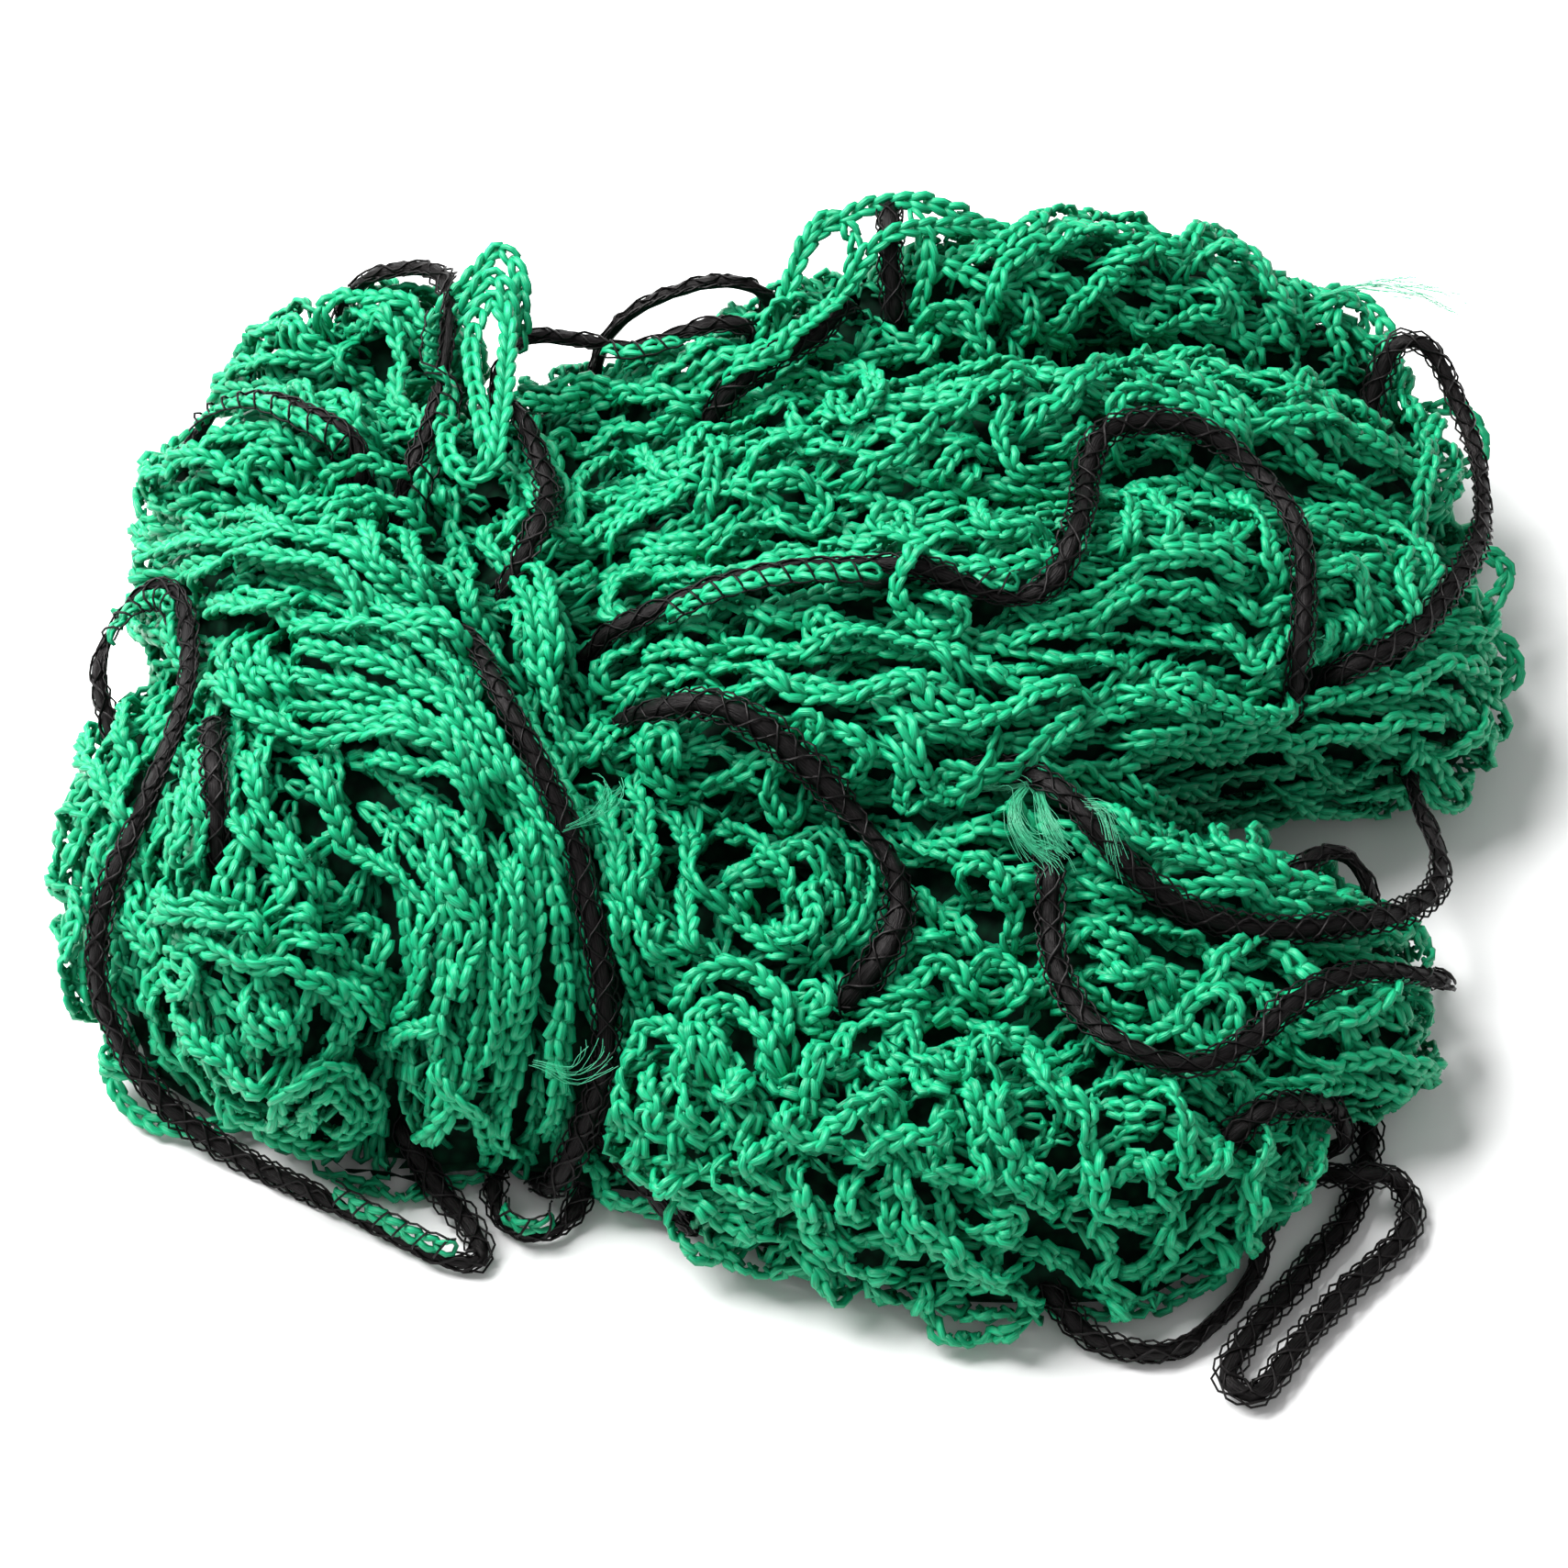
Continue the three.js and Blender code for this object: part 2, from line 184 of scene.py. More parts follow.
# %% Cord routes
CORD_ROUTES = {
    "edge_cord_crown": [
        (-89, 99, 42), (-83, 96, 52), (-75, 95, 55), (-69, 89, 59), (-67, 79, 61), (-67, 69, 61),
        (-68, 59, 60), (-70, 49, 58), (-73, 40, 56), (-75, 34, 52), (-76, 30, 45)],
    "edge_cord_saddle": [
        (-57, 59, 52), (-53, 50, 62), (-49, 40, 60), (-47, 30, 60), (-49, 20, 62), (-54, 13, 55)],
    "edge_cord_back": [
        (-57, 66, 38), (-58, 72, 49), (-53, 77, 54), (-42, 78, 52.5), (-33, 77, 52), (-23, 79, 54),
        (-16, 80, 55), (-11, 80, 54), (-8, 78, 46)],
    "edge_cord_rear_arc": [
        (-41, 80, 37), (-38, 85, 46), (-32, 87, 52), (-26, 88, 55), (-19, 89, 57), (-12, 89, 57),
        (-7, 88, 54), (-4, 86, 46)],
    "edge_cord_shoulder": [
        (-116, 63, 40), (-110, 61, 51), (-101, 57, 59), (-91, 50, 62), (-83, 44, 61), (-82, 39, 56),
        (-84, 35, 48)],
    "edge_cord_left": [
        (-126, -3, 32), (-129, 7, 38), (-126, 16, 42), (-120, 20, 47), (-114, 15, 51), (-111, 3, 50),
        (-111, -10, 50), (-114, -23, 48), (-119, -34, 42), (-124, -44, 34), (-125, -54, 26),
        (-121, -62, 17), (-113, -69, 8), (-101, -76, 3.4), (-87, -84, 3), (-74, -92, 2.8),
        (-63, -98, 2.8), (-57, -98, 2.8), (-59, -91, 2.8), (-65, -84, 5), (-71, -76, 10)],
    "edge_cord_lobe": [(-105, -16, 50), (-104, -24, 59), (-103, -34, 62), (-102, -42, 60), (-102, -48, 50)],
    "edge_cord_band": [
        (-62, 5, 52), (-58, -10, 64), (-53, -24, 67), (-46, -37, 63), (-40, -49, 56), (-37, -60, 49),
        (-35, -69, 41), (-35, -77, 31), (-39, -83, 20), (-44, -87, 10), (-47, -83, 3.5)],
    "edge_cord_foot": [(-55, -82, 4), (-54, -89, 3), (-49, -93, 2.8), (-43, -91, 2.8), (-39, -84, 4)],
    "edge_cord_foot_right": [
        (-46, -66, 16), (-43, -70, 16.5), (-40, -74, 15.5), (-37, -78, 13.5), (-33, -83, 12.5),
        (-28, -88.5, 12), (-23, -93, 8), (-20, -92, 3.5)],
    "edge_cord_gather": [
        (-33, -13, 48), (-26, -19, 58), (-19, -20, 61), (-10, -24, 61), (0, -31, 57), (9, -39, 51),
        (15, -47, 48), (16, -54, 45), (13, -62, 43), (7, -67, 36)],
    "edge_cord_fan": [
        (-42, 1, 44), (-35, 1, 56), (-28, 1, 61), (-18, 3, 66), (-4, 4, 70), (9, 4, 71), (20, 3, 71),
        (29, 1, 68), (37, 0, 66), (44, 4, 67), (48, 13, 70), (50, 23, 67), (51, 32, 64), (54, 41, 65),
        (63, 46, 64), (73, 45, 62), (83, 37, 59), (89, 24, 59), (90, 13, 55), (89, 2, 50), (88, -4, 40)],
    "edge_cord_right_arch": [
        (108, 75, 24), (110, 83, 35), (115, 88, 43), (120, 86, 42), (125, 77, 37), (128, 65, 34),
        (128, 53, 34), (126, 41, 37), (121, 29, 41), (114, 17, 42), (105, 7, 44), (97, 3, 43), (92, 4, 34)],
    "edge_cord_right_upper": [
        (21, -26, 44), (29, -28, 52), (37, -29, 53), (44, -34, 54), (50, -42, 53), (58, -49, 48),
        (69, -53, 42), (82, -52, 37), (96, -47, 33), (106, -40, 27), (113, -31, 22), (115, -22, 20),
        (113, -13, 20), (111, -2, 19)],
    "edge_cord_right_arc": [(86, -38, 33), (91, -31, 32), (97, -29, 29), (101, -33, 24), (100, -39, 16)],
    "edge_cord_right_lower": [
        (40, -41, 44), (42, -48, 50), (42, -56, 46), (43, -65, 43), (47, -73, 41), (54, -80, 41),
        (65, -83, 39), (76, -76, 37), (85, -67, 37), (96, -59, 34), (106, -54, 27), (113, -50, 20),
        (113, -44, 13), (107, -42, 10)],
    "edge_cord_right_front": [
        (72, -89, 26), (79, -85, 29), (87, -80, 24), (93, -76, 16), (94, -78, 9), (88, -77, 6)],
    "edge_cord_front": [
        (41, -107, 8), (49, -115, 4), (62, -117, 2.8), (71, -110, 2.8), (78, -100, 3), (80, -89, 8)],
    "edge_cord_rear": [(17, 83, 54), (16, 91, 63), (16, 99, 66), (16, 106, 61), (17, 108, 50),
        (18, 104, 40)],
    "edge_cord_rear_low": [(9, 85, 52), (7, 80, 60), (2, 73, 59), (-5, 69, 58), (-13, 64, 55),
        (-19, 61, 46)],
    "loose_bight": [
        (84, -82, 6), (92, -83, 7), (95, -84, 8), (99, -84, 8.4), (103, -83, 6), (106, -86, 3),
        (105, -92, 2.8), (100, -98, 2.8), (94, -104, 2.8), (89, -110, 2.8), (84, -116, 2.8),
        (80, -122, 2.8), (76, -126, 2.8), (72, -123, 2.8), (74, -117, 2.8), (79, -110, 2.8),
        (84, -104, 2.8), (89, -97, 2.8), (94, -91, 2.8), (97, -84, 2.8), (99, -77, 2.8), (100, -70, 3),
        (98, -63, 7)],
}
CORD_STEP = 1.35 * MM
cord_lines = {name: route_line(route, CORD_STEP) for name, route in CORD_ROUTES.items()}
cord_length = sum(run_of(line)[-1] for line in cord_lines.values())
print("stretches of cord:", len(cord_lines), "length that shows:", round(cord_length, 3), "m")

# %% [markdown]
# ## The heap's surface
# The solid of the heap has flat facets and sharp valleys. A voxel remesh and a little smoothing give a
# fine, even skin of the same form. The strands are laid on that skin, which itself is never shown.

# %% Heap skin
VOXEL = 2.3 * MM
SMOOTH_ROUNDS = 5


def remeshed(source, voxel):
    """Points and faces of a voxel remesh of an object."""
    copy = linked("remesh_copy", source.data.copy())
    modifier = copy.modifiers.new("voxels", "REMESH")
    modifier.mode = "VOXEL"
    modifier.voxel_size = voxel
    depsgraph = bpy.context.evaluated_depsgraph_get()
    mesh = bpy.data.meshes.new_from_object(copy.evaluated_get(depsgraph))
    points = np.empty(len(mesh.vertices) * 3)
    mesh.vertices.foreach_get("co", points)
    faces = np.empty(len(mesh.loops), int)
    mesh.loops.foreach_get("vertex_index", faces)
    bpy.data.meshes.remove(mesh)
    bpy.data.objects.remove(copy)
    return points.reshape(-1, 3), faces.reshape(-1, 4)


def face_normals(points, faces):
    a, b, c, d = (points[faces[:, corner]] for corner in range(4))
    return unit(np.cross(c - a, d - b))


def relaxed(points, faces, rounds):
    """Moves every point half way to the middle of its neighbours, a few times over."""
    edges = np.vstack([faces[:, [a, (a + 1) % 4]] for a in range(4)])
    count = np.zeros(len(points))
    np.add.at(count, edges[:, 0], 1)
    for _ in range(rounds):
        total = np.zeros_like(points)
        np.add.at(total, edges[:, 0], points[edges[:, 1]])
        points = 0.5 * points + 0.5 * total / count[:, None]
    return points


def surface_tree(points, faces):
    """A search tree of a surface, for nearest places and for rays."""
    return BVHTree.FromPolygons([Vector(p) for p in points], [list(map(int, f)) for f in faces])


skin_points, skin_faces = remeshed(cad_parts["net"], VOXEL)
skin_points = relaxed(skin_points, skin_faces, SMOOTH_ROUNDS)
skin_normals = face_normals(skin_points, skin_faces)
skin = surface_tree(skin_points, skin_faces)
print("skin:", len(skin_points), "points,", len(skin_faces), "faces")

# %% [markdown]
# ## Yarn materials
# The yarn is a bundle of fine, shiny filaments. Every tube made below carries a vector called yarn on
# its points: where the point lies across the yarn and how far along it, as if the yarn were pulled
# straight. Noise stretched along that vector gives filament streaks in colour and bump that follow
# every bend, with no seam. A second number, shade, is painted shade: it darkens the colour and weakens the
# gloss down inside a stitch and in the caves of the heap, where little of the sky is seen.

# %% Materials
STREAK_DRAWN_OUT = 0.3  # noise along the yarn, for each millimetre
DARK_BELOW, LIGHT_ABOVE = 0.34, 0.66  # noise at which the two tones are reached
BUMP_DEPTH = 0.3 * MM


def new_material(name, roughness):
    """A material, its nodes, the links between them and its shader."""
    material = bpy.data.materials.new(name)
    material.use_nodes = True
    shader = material.node_tree.nodes["Principled BSDF"]
    shader.inputs["Roughness"].default_value = roughness
    return material, material.node_tree.nodes, material.node_tree.links, shader


def yarn_material(name, dark, light, tint, roughness, gloss, streaks, bump):
    """A filament yarn whose colour runs between two tones."""
    material, nodes, links, shader = new_material(name, roughness)
    shader.inputs["Specular Tint"].default_value = (*tint, 1)

    place = nodes.new("ShaderNodeAttribute")
    place.attribute_name = "yarn"
    stretch = nodes.new("ShaderNodeVectorMath")
    stretch.operation = "MULTIPLY"
    stretch.inputs[1].default_value = (streaks, streaks, STREAK_DRAWN_OUT)
    links.new(place.outputs["Vector"], stretch.inputs[0])
    filament = nodes.new("ShaderNodeTexNoise")
    filament.inputs["Scale"].default_value = 1
    filament.inputs["Detail"].default_value = 3
    links.new(stretch.outputs[0], filament.inputs["Vector"])

    tones = nodes.new("ShaderNodeValToRGB")
    low, high = tones.color_ramp.elements
    low.position, low.color = DARK_BELOW, (*dark, 1)
    high.position, high.color = LIGHT_ABOVE, (*light, 1)
    links.new(filament.outputs["Fac"], tones.inputs["Fac"])
    # shade is painted shade: it darkens the base colour and weakens the gloss inside stitches and in caves
    shade = nodes.new("ShaderNodeAttribute")
    shade.attribute_name = "shade"
    painted_shade_colour = nodes.new("ShaderNodeVectorMath")
    painted_shade_colour.operation = "SCALE"
    links.new(tones.outputs["Color"], painted_shade_colour.inputs[0])
    links.new(shade.outputs["Fac"], painted_shade_colour.inputs["Scale"])
    links.new(painted_shade_colour.outputs[0], shader.inputs["Base Color"])
    shaded_gloss = nodes.new("ShaderNodeMath")
    shaded_gloss.operation = "MULTIPLY"
    shaded_gloss.inputs[1].default_value = gloss
    links.new(shade.outputs["Fac"], shaded_gloss.inputs[0])
    links.new(shaded_gloss.outputs[0], shader.inputs["Specular IOR Level"])

    relief = nodes.new("ShaderNodeBump")
    relief.inputs["Strength"].default_value = bump
    relief.inputs["Distance"].default_value = BUMP_DEPTH
    links.new(filament.outputs["Fac"], relief.inputs["Height"])
    links.new(relief.outputs["Normal"], shader.inputs["Normal"])
    return material


green_yarn = yarn_material(
    "green_filament_yarn", dark=(0.0005, 0.24, 0.102), light=(0.011, 0.475, 0.218),
    tint=(0.62, 1.0, 0.86), roughness=0.4, gloss=0.5, streaks=3.4, bump=0.7)
black_core = yarn_material(
    "black_filament_core", dark=(0.0003, 0.0003, 0.0003), light=(0.0085, 0.0075, 0.0078),
    tint=(1.0, 0.95, 0.95), roughness=0.42, gloss=0.13, streaks=4.5, bump=1.0)
black_yarn = yarn_material(
    "black_lacing_yarn", dark=(0.0008, 0.0007, 0.0007), light=(0.008, 0.007, 0.0074),
    tint=(1.0, 0.95, 0.95), roughness=0.4, gloss=0.18, streaks=5, bump=0.5)
print("yarns:", green_yarn.name, black_core.name, black_yarn.name)

# %% [markdown]
# ## Tubes from arrays
# Thousands of yarn loops would be slow as separate objects, so they are built as rows of rings in one
# array and joined into one mesh. Each ring is a small circle across the yarn, and neighbouring rings
# are joined by four-sided faces.

# %% Tube builder
THREAD_SIDES = 3


def circle(sides):
    """The angles of the corners of a ring."""
    return np.linspace(0, 2 * math.pi, sides, endpoint=False)


class TubeMesh:
    """Collects tubes and turns them into one object."""

    def __init__(self, name):
        self.name = name
        self.points = []
        self.faces = []
        self.yarn = []
        self.shades = []
        self.slots = []
        self.count = 0

    def add(self, rings, across, along, slot=0, shade=1.0):
        """rings is tubes by rings by sides by 3; across and along place each point on the yarn, in mm."""
        tubes, length, sides, _ = rings.shape
        index = np.arange(tubes * length * sides).reshape(tubes, length, sides)
        following = np.roll(index, -1, axis=2)
        faces = np.stack([index[:, :-1], following[:, :-1], following[:, 1:], index[:, 1:]], axis=-1)
        faces = faces.reshape(-1, 4)
        self.points.append(rings.reshape(-1, 3))
        self.faces.append(faces + self.count)
        place = np.empty((tubes, length, sides, 3))
        place[..., :2] = across
        place[..., 2] = along
        self.yarn.append(place.reshape(-1, 3))
        self.shades.append(np.broadcast_to(shade, (tubes, length, sides)).ravel())
        self.slots.append(np.full(len(faces), slot))
        self.count += tubes * length * sides

    def line(self, line, up, width, height, sides, slot=0, ridge=1.0):
        """One tube along a line. width and height are its radii, one number or one for each point."""
        _, side, upright = frames(line, up)
        width = np.broadcast_to(width, len(line))[:, None, None]
        height = np.broadcast_to(height, len(line))[:, None, None]
        wide, high = np.cos(circle(sides)) * ridge, np.sin(circle(sides)) * ridge
        rings = (line[:, None, :] + width * wide[None, :, None] * side[:, None, :]
                 + height * high[None, :, None] * upright[:, None, :])
        run = run_of(line) / MM
        across = np.stack([np.broadcast_to(wide, rings.shape[:2]) * width[:, :, 0],
                           np.broadcast_to(high, rings.shape[:2]) * height[:, :, 0]], axis=-1) / MM
        self.add(rings[None], across[None], run[None, :, None], slot)

    def thread(self, line, up, radius, slot=0):
        """A thin round yarn along a line, its radius in millimetres."""
        self.line(line, up, radius * MM, radius * MM, THREAD_SIDES, slot)

    def object(self, materials):
        points = np.vstack(self.points)
        faces = np.vstack(self.faces)
        mesh = bpy.data.meshes.new(self.name)
        mesh.vertices.add(len(points))
        mesh.vertices.foreach_set("co", points.ravel())
        mesh.loops.add(faces.size)
        mesh.loops.foreach_set("vertex_index", faces.ravel())
        mesh.polygons.add(len(faces))
        mesh.polygons.foreach_set("loop_start", np.arange(0, faces.size, 4))
        mesh.polygons.foreach_set("material_index", np.concatenate(self.slots))
        for material in materials:
            mesh.materials.append(material)
        mesh.update(calc_edges=True)
        mesh.polygons.foreach_set("use_smooth", np.ones(len(faces), bool))
        attribute = mesh.attributes.new("yarn", "FLOAT_VECTOR", "POINT")
        attribute.data.foreach_set("vector", np.vstack(self.yarn).ravel())
        attribute = mesh.attributes.new("shade", "FLOAT", "POINT")
        attribute.data.foreach_set("value", np.concatenate(self.shades))
        return linked(self.name, mesh)


# %% [markdown]
# ## The laced edge cord
# The cord is sewn along the net's edge, comes out of the heap in stretches and goes back in. So each
# stretch is drawn on into the heap at both ends, and its upper side faces away from the skin.

# %% Cord lines
UP = (0.0, 0.0, 1.0)
UP_BIAS = (0, 0, 0.25)  # turns the lacing a little towards the sky
UP_ROUNDS = 30
TUCK = 8.0 * MM
TUCK_AHEAD = 0.45
TUCK_BOW = 0.25
TUCK_SHARES = (0.3, 0.65, 1)
FREE_END = 2.5 * MM  # an end farther out than this is left as it is
LOWEST_CORD = 2.3 * MM


def tucked(line):
    """A stretch of cord whose two ends are drawn on into the heap."""
    for _ in range(2):
        line = line[::-1]
        place, normal, _, distance = skin.find_nearest(Vector(line[-1]))
        if distance > FREE_END and (Vector(line[-1]) - place).dot(normal) > 0:
            continue
        ahead = unit(line[-1] - line[-3])
        inward = unit(TUCK_AHEAD * ahead - np.array(normal))
        tail = [line[-1] + TUCK * (share * inward + TUCK_BOW * share * (1 - share) * ahead)
                for share in TUCK_SHARES]
        last = [] if len(line) % 3 == 1 else [line[-1]]
        line = smooth_line([*line[::3], *last, *tail], CORD_STEP)
        line[:, 2] = np.maximum(line[:, 2], LOWEST_CORD)
    return line


def upward(line, name):
    """The side of a cord that faces away from what it lies on."""
    if name == "loose_bight":
        return facing(UP, line)
    normals = [tuple(skin.find_nearest(Vector(point))[1]) for point in line]
    return unit(soften(normals, UP_ROUNDS) + UP_BIAS)


drawn_lines = {name: line if name == "loose_bight" else tucked(line) for name, line in cord_lines.items()}
cord_ups = {name: upward(line, name) for name, line in drawn_lines.items()}
print("longest stretch:", max(drawn_lines, key=lambda name: len(drawn_lines[name])))

# %% [markdown]
# ## Core and lacing
# The core is a bundle of straight black filaments, an oval tube with ridges. A pair of thin yarns crosses
# over it in a row of diamonds and pinches it, and along both edges two more twist round each other and
# leave small open loops. Slow noise varies their pitch and reach, since a soft cord is never quite even.

# %% Core and lacing
CORD_HALF_WIDTH = 1.6  # lengths in this cell are in millimetres
CORD_HALF_HEIGHT = 1.35
CORE_RIDGES = 6
GROOVE = 0.84
PINCH = 0.18
PINCH_REACH = 1.5
CORE_TAPER, LACING_TAPER = (3, 0.25), (4, 0.1)  # length, and the share left at an end
CROSS_PITCH = 5.4
CROSS_YARN = 0.28
CROSS_SWING = 1.75
CROSS_SWING_PLAY, CROSS_PHASE_PLAY = 0.35, 0.35
CROSS_ARCH = 2.2  # half the width of the arch that the crossing yarns follow
CROSS_LIFT, CROSS_OVER = 0.05, 0.14  # one yarn passes over the other
EDGE_YARN = 0.25
EDGE_OUT = 0.42
EDGE_LOOP_PITCH = 6.0
EDGE_LOOP_DEPTH = 0.62
EDGE_LEAST, EDGE_PLAY, EDGE_PHASE_PLAY = 0.55, 0.9, 0.5
EDGE_OUTWARD = 0.15
EDGE_LOOP_LIFT = 0.3
lace_dice = np.random.default_rng(5)


def slow_noise(run, wave):
    """A smooth random row of numbers from 0 to 1 along a run."""
    knots = lace_dice.uniform(0, 1, int(run[-1] / wave) + 3)
    return soften(np.interp(run / wave, np.arange(len(knots)), knots), 2)


def taper(run, length, least):
    """A row of ones that falls off over a length at both ends."""
    return np.clip(np.minimum(run, run[-1] - run) / length, least, 1)


def cord_core(tubes, line, up, slim=1.0):
    """The filament bundle, pinched where the lacing crosses it."""
    run = run_of(line) / MM
    nearest_cross = np.abs((run / CROSS_PITCH) % 1 - 0.5) * CROSS_PITCH
    pinch = 1 - PINCH * np.exp(-(nearest_cross / PINCH_REACH) ** 2) * slow_noise(run, wave=9)
    end = taper(run, *CORE_TAPER) * slim
    ridge = np.tile((1.0, GROOVE), CORE_RIDGES)
    tubes.line(line, up, CORD_HALF_WIDTH * MM * pinch * end, CORD_HALF_HEIGHT * MM * pinch * end,
               len(ridge), slot=0, ridge=ridge)


def cord_lacing(tubes, line, up, slot, slim=1.0):
    """Two yarns that cross over the core and, along each edge, two that twist into open loops."""
    _, side, upright = frames(line, up)
    run = run_of(line) / MM
    end = taper(run, *LACING_TAPER) * slim
    for hand in (1, -1):
        phase = math.pi * (run / CROSS_PITCH + CROSS_PHASE_PLAY * slow_noise(run, wave=11))
        swing = hand * (CROSS_SWING + CROSS_SWING_PLAY * slow_noise(run, wave=6)) * np.cos(phase) * end
        arch = np.sqrt(np.maximum(0, 1 - (swing / CROSS_ARCH) ** 2))
        rise = CORD_HALF_HEIGHT * arch + CROSS_LIFT + CROSS_OVER * hand
        crossing = line + (swing[:, None] * side + (rise * end)[:, None] * upright) * MM
        tubes.thread(crossing, up, CROSS_YARN, slot)
        loops = 2 * math.pi * (run / EDGE_LOOP_PITCH + EDGE_PHASE_PLAY * slow_noise(run, wave=8))
        depth = EDGE_LOOP_DEPTH * (EDGE_LEAST + EDGE_PLAY * slow_noise(run, wave=5))
        for turn in (0, math.pi):
            looped = depth * (np.cos(loops + turn) + EDGE_OUTWARD)
            reach = hand * (CORD_HALF_WIDTH + EDGE_OUT + looped) * end
            lift = EDGE_LOOP_LIFT * np.sin(loops + turn) * end
            edge = line + (reach[:, None] * side + lift[:, None] * upright) * MM
            tubes.thread(edge, up, EDGE_YARN, slot)


# %% [markdown]
# ## Ladders
# Here and there the lacing leaves the core and reaches over a green strand beside it, like the rungs of a
# ladder, to a thin yarn on the far side. The core is slimmer there. The pixels say where a ladder begins
# and ends, and the hand says on which side of its cord it lies.

# %% Ladders
LADDERS = [
    # stretch, the pixels between which it runs, side of the cord
    ("edge_cord_fan", (735, 680), (962, 637), -1),
    ("edge_cord_fan", (1050, 650), (1125, 672), 1),
    ("edge_cord_crown", (500, 352), (470, 478), 1),
    ("edge_cord_crown", (456, 505), (446, 580), 1),
    ("edge_cord_shoulder", (225, 460), (385, 495), -1),
    ("edge_cord_left", (112, 705), (180, 668), -1),
    ("edge_cord_back", (655, 378), (740, 366), -1),
    ("edge_cord_left", (375, 1290), (500, 1365), 1),
    ("edge_cord_foot", (535, 1325), (620, 1335), 1),
]
RUNG_PITCH = 4.2
RUNG = [
    # ahead along the cord, out from its middle and up, in millimetres
    (0, 0.2, 0.8), (0.5, 1.4, 2.0), (1.2, 2.9, 2.3), (1.9, 4.2, 1.5), (2.4, 4.8, 0.4),
]
RUNG_ROOM = 2.5  # a rung needs this much of the run
LADDER_STRAND = 2.7
LADDER_STRAND_LIFT = 0.2
LADDER_EDGE = 4.8
LADDER_EDGE_LIFT = 0.4
LADDER_WAVE = 0.3


def stretch_between(line, first, last):
    """The part of a line that runs between two pixels."""
    pixels = pixels_of(line)
    ends = [int(np.argmin(((pixels - pixel) ** 2).sum(axis=1))) for pixel in (first, last)]
    return slice(min(ends), max(ends) + 1)


def add_ladder(tubes, line, up, part, hand, slot):
    """Rungs from the cord over a strand beside it to a thin outer yarn. Returns the strand's line."""
    line, up = line[part], up[part]
    forward, side, upright = frames(line, up)
    run = run_of(line) / MM
    step = run[-1] / (len(line) - 1)
    reach = LADDER_EDGE + LADDER_WAVE * np.sin(2 * math.pi * run / RUNG_PITCH)
    edge = line + (reach[:, None] * hand * side + LADDER_EDGE_LIFT * upright) * MM
    tubes.thread(edge, up, EDGE_YARN, slot)
    for place in np.arange(1, run[-1] - RUNG_ROOM, RUNG_PITCH):
        track = []
        for ahead, out, rise in RUNG:
            k = min(len(line) - 1, int(round((place + ahead) / step)))
            rest = (place + ahead) - k * step
            track.append(line[k] + (rest * forward[k] + out * hand * side[k] + rise * upright[k]) * MM)
        tubes.thread(np.array(track), facing(upright[k], track), CROSS_YARN, slot)
    return line + (LADDER_STRAND * hand * side + LADDER_STRAND_LIFT * upright) * MM, up


# %% [markdown]
# Each stretch that shows becomes one piece: core, lacing and ladders. One stretch gathers several layers of
# the net and is drawn out wider than the rest.

# %% Laced stretches
SLIM = 0.55
GATHER_WIDER = 1.25
ladder_strands = []
cord_pieces = []
for name, line in drawn_lines.items():
    if name == "loose_bight":
        continue
    tubes = TubeMesh(name + "_laced")
    slim = np.full(len(line), GATHER_WIDER if name == "edge_cord_gather" else 1.0)
    for stretch, first, last, hand in LADDERS:
        if stretch == name:
            part = stretch_between(line, first, last)
            slim[part] = SLIM
            ladder_strands.append(add_ladder(tubes, line, cord_ups[name], part, hand, slot=1))
    slim = soften(slim, 5)
    cord_core(tubes, line, cord_ups[name], slim)
    cord_lacing(tubes, line, cord_ups[name], 1, slim)
    piece = tubes.object([black_core, black_yarn])
    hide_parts(name)
    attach(piece, "root")
    cord_pieces.append(piece)
print("laced stretches:", len(cord_pieces), "faces:", sum(len(piece.data.polygons) for piece in cord_pieces))

# %% [markdown]
# ## The loose bight
# The doubled loop in front is a free length of the same cord. It leaves the heap, lies doubled on the
# surface and goes back into the heap. Its core and its lacing are made as two pieces.

# %% Loose bight
bight_line = drawn_lines["loose_bight"]
bight_up = cord_ups["loose_bight"]
bight_tubes = TubeMesh("loose_bight_core")
cord_core(bight_tubes, bight_line, bight_up)
loose_bight = bight_tubes.object([black_core])
lacing_tubes = TubeMesh("loose_bight_lacing")
cord_lacing(lacing_tubes, bight_line, bight_up, slot=0)
bight_lacing = lacing_tubes.object([black_yarn])
for piece in (loose_bight, bight_lacing):
    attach(piece, "root")
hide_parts("loose_bight")

# %% [markdown]
# ## Which way the net runs
# Each bunch of the heap is drawn out along a crest, and its strands run along that crest. The rows below
# give each bunch's crest, width, height and how tousled its strands are, in degrees. A place on the skin
# belongs to the bunch whose oval section it lies on, and takes its direction from there.

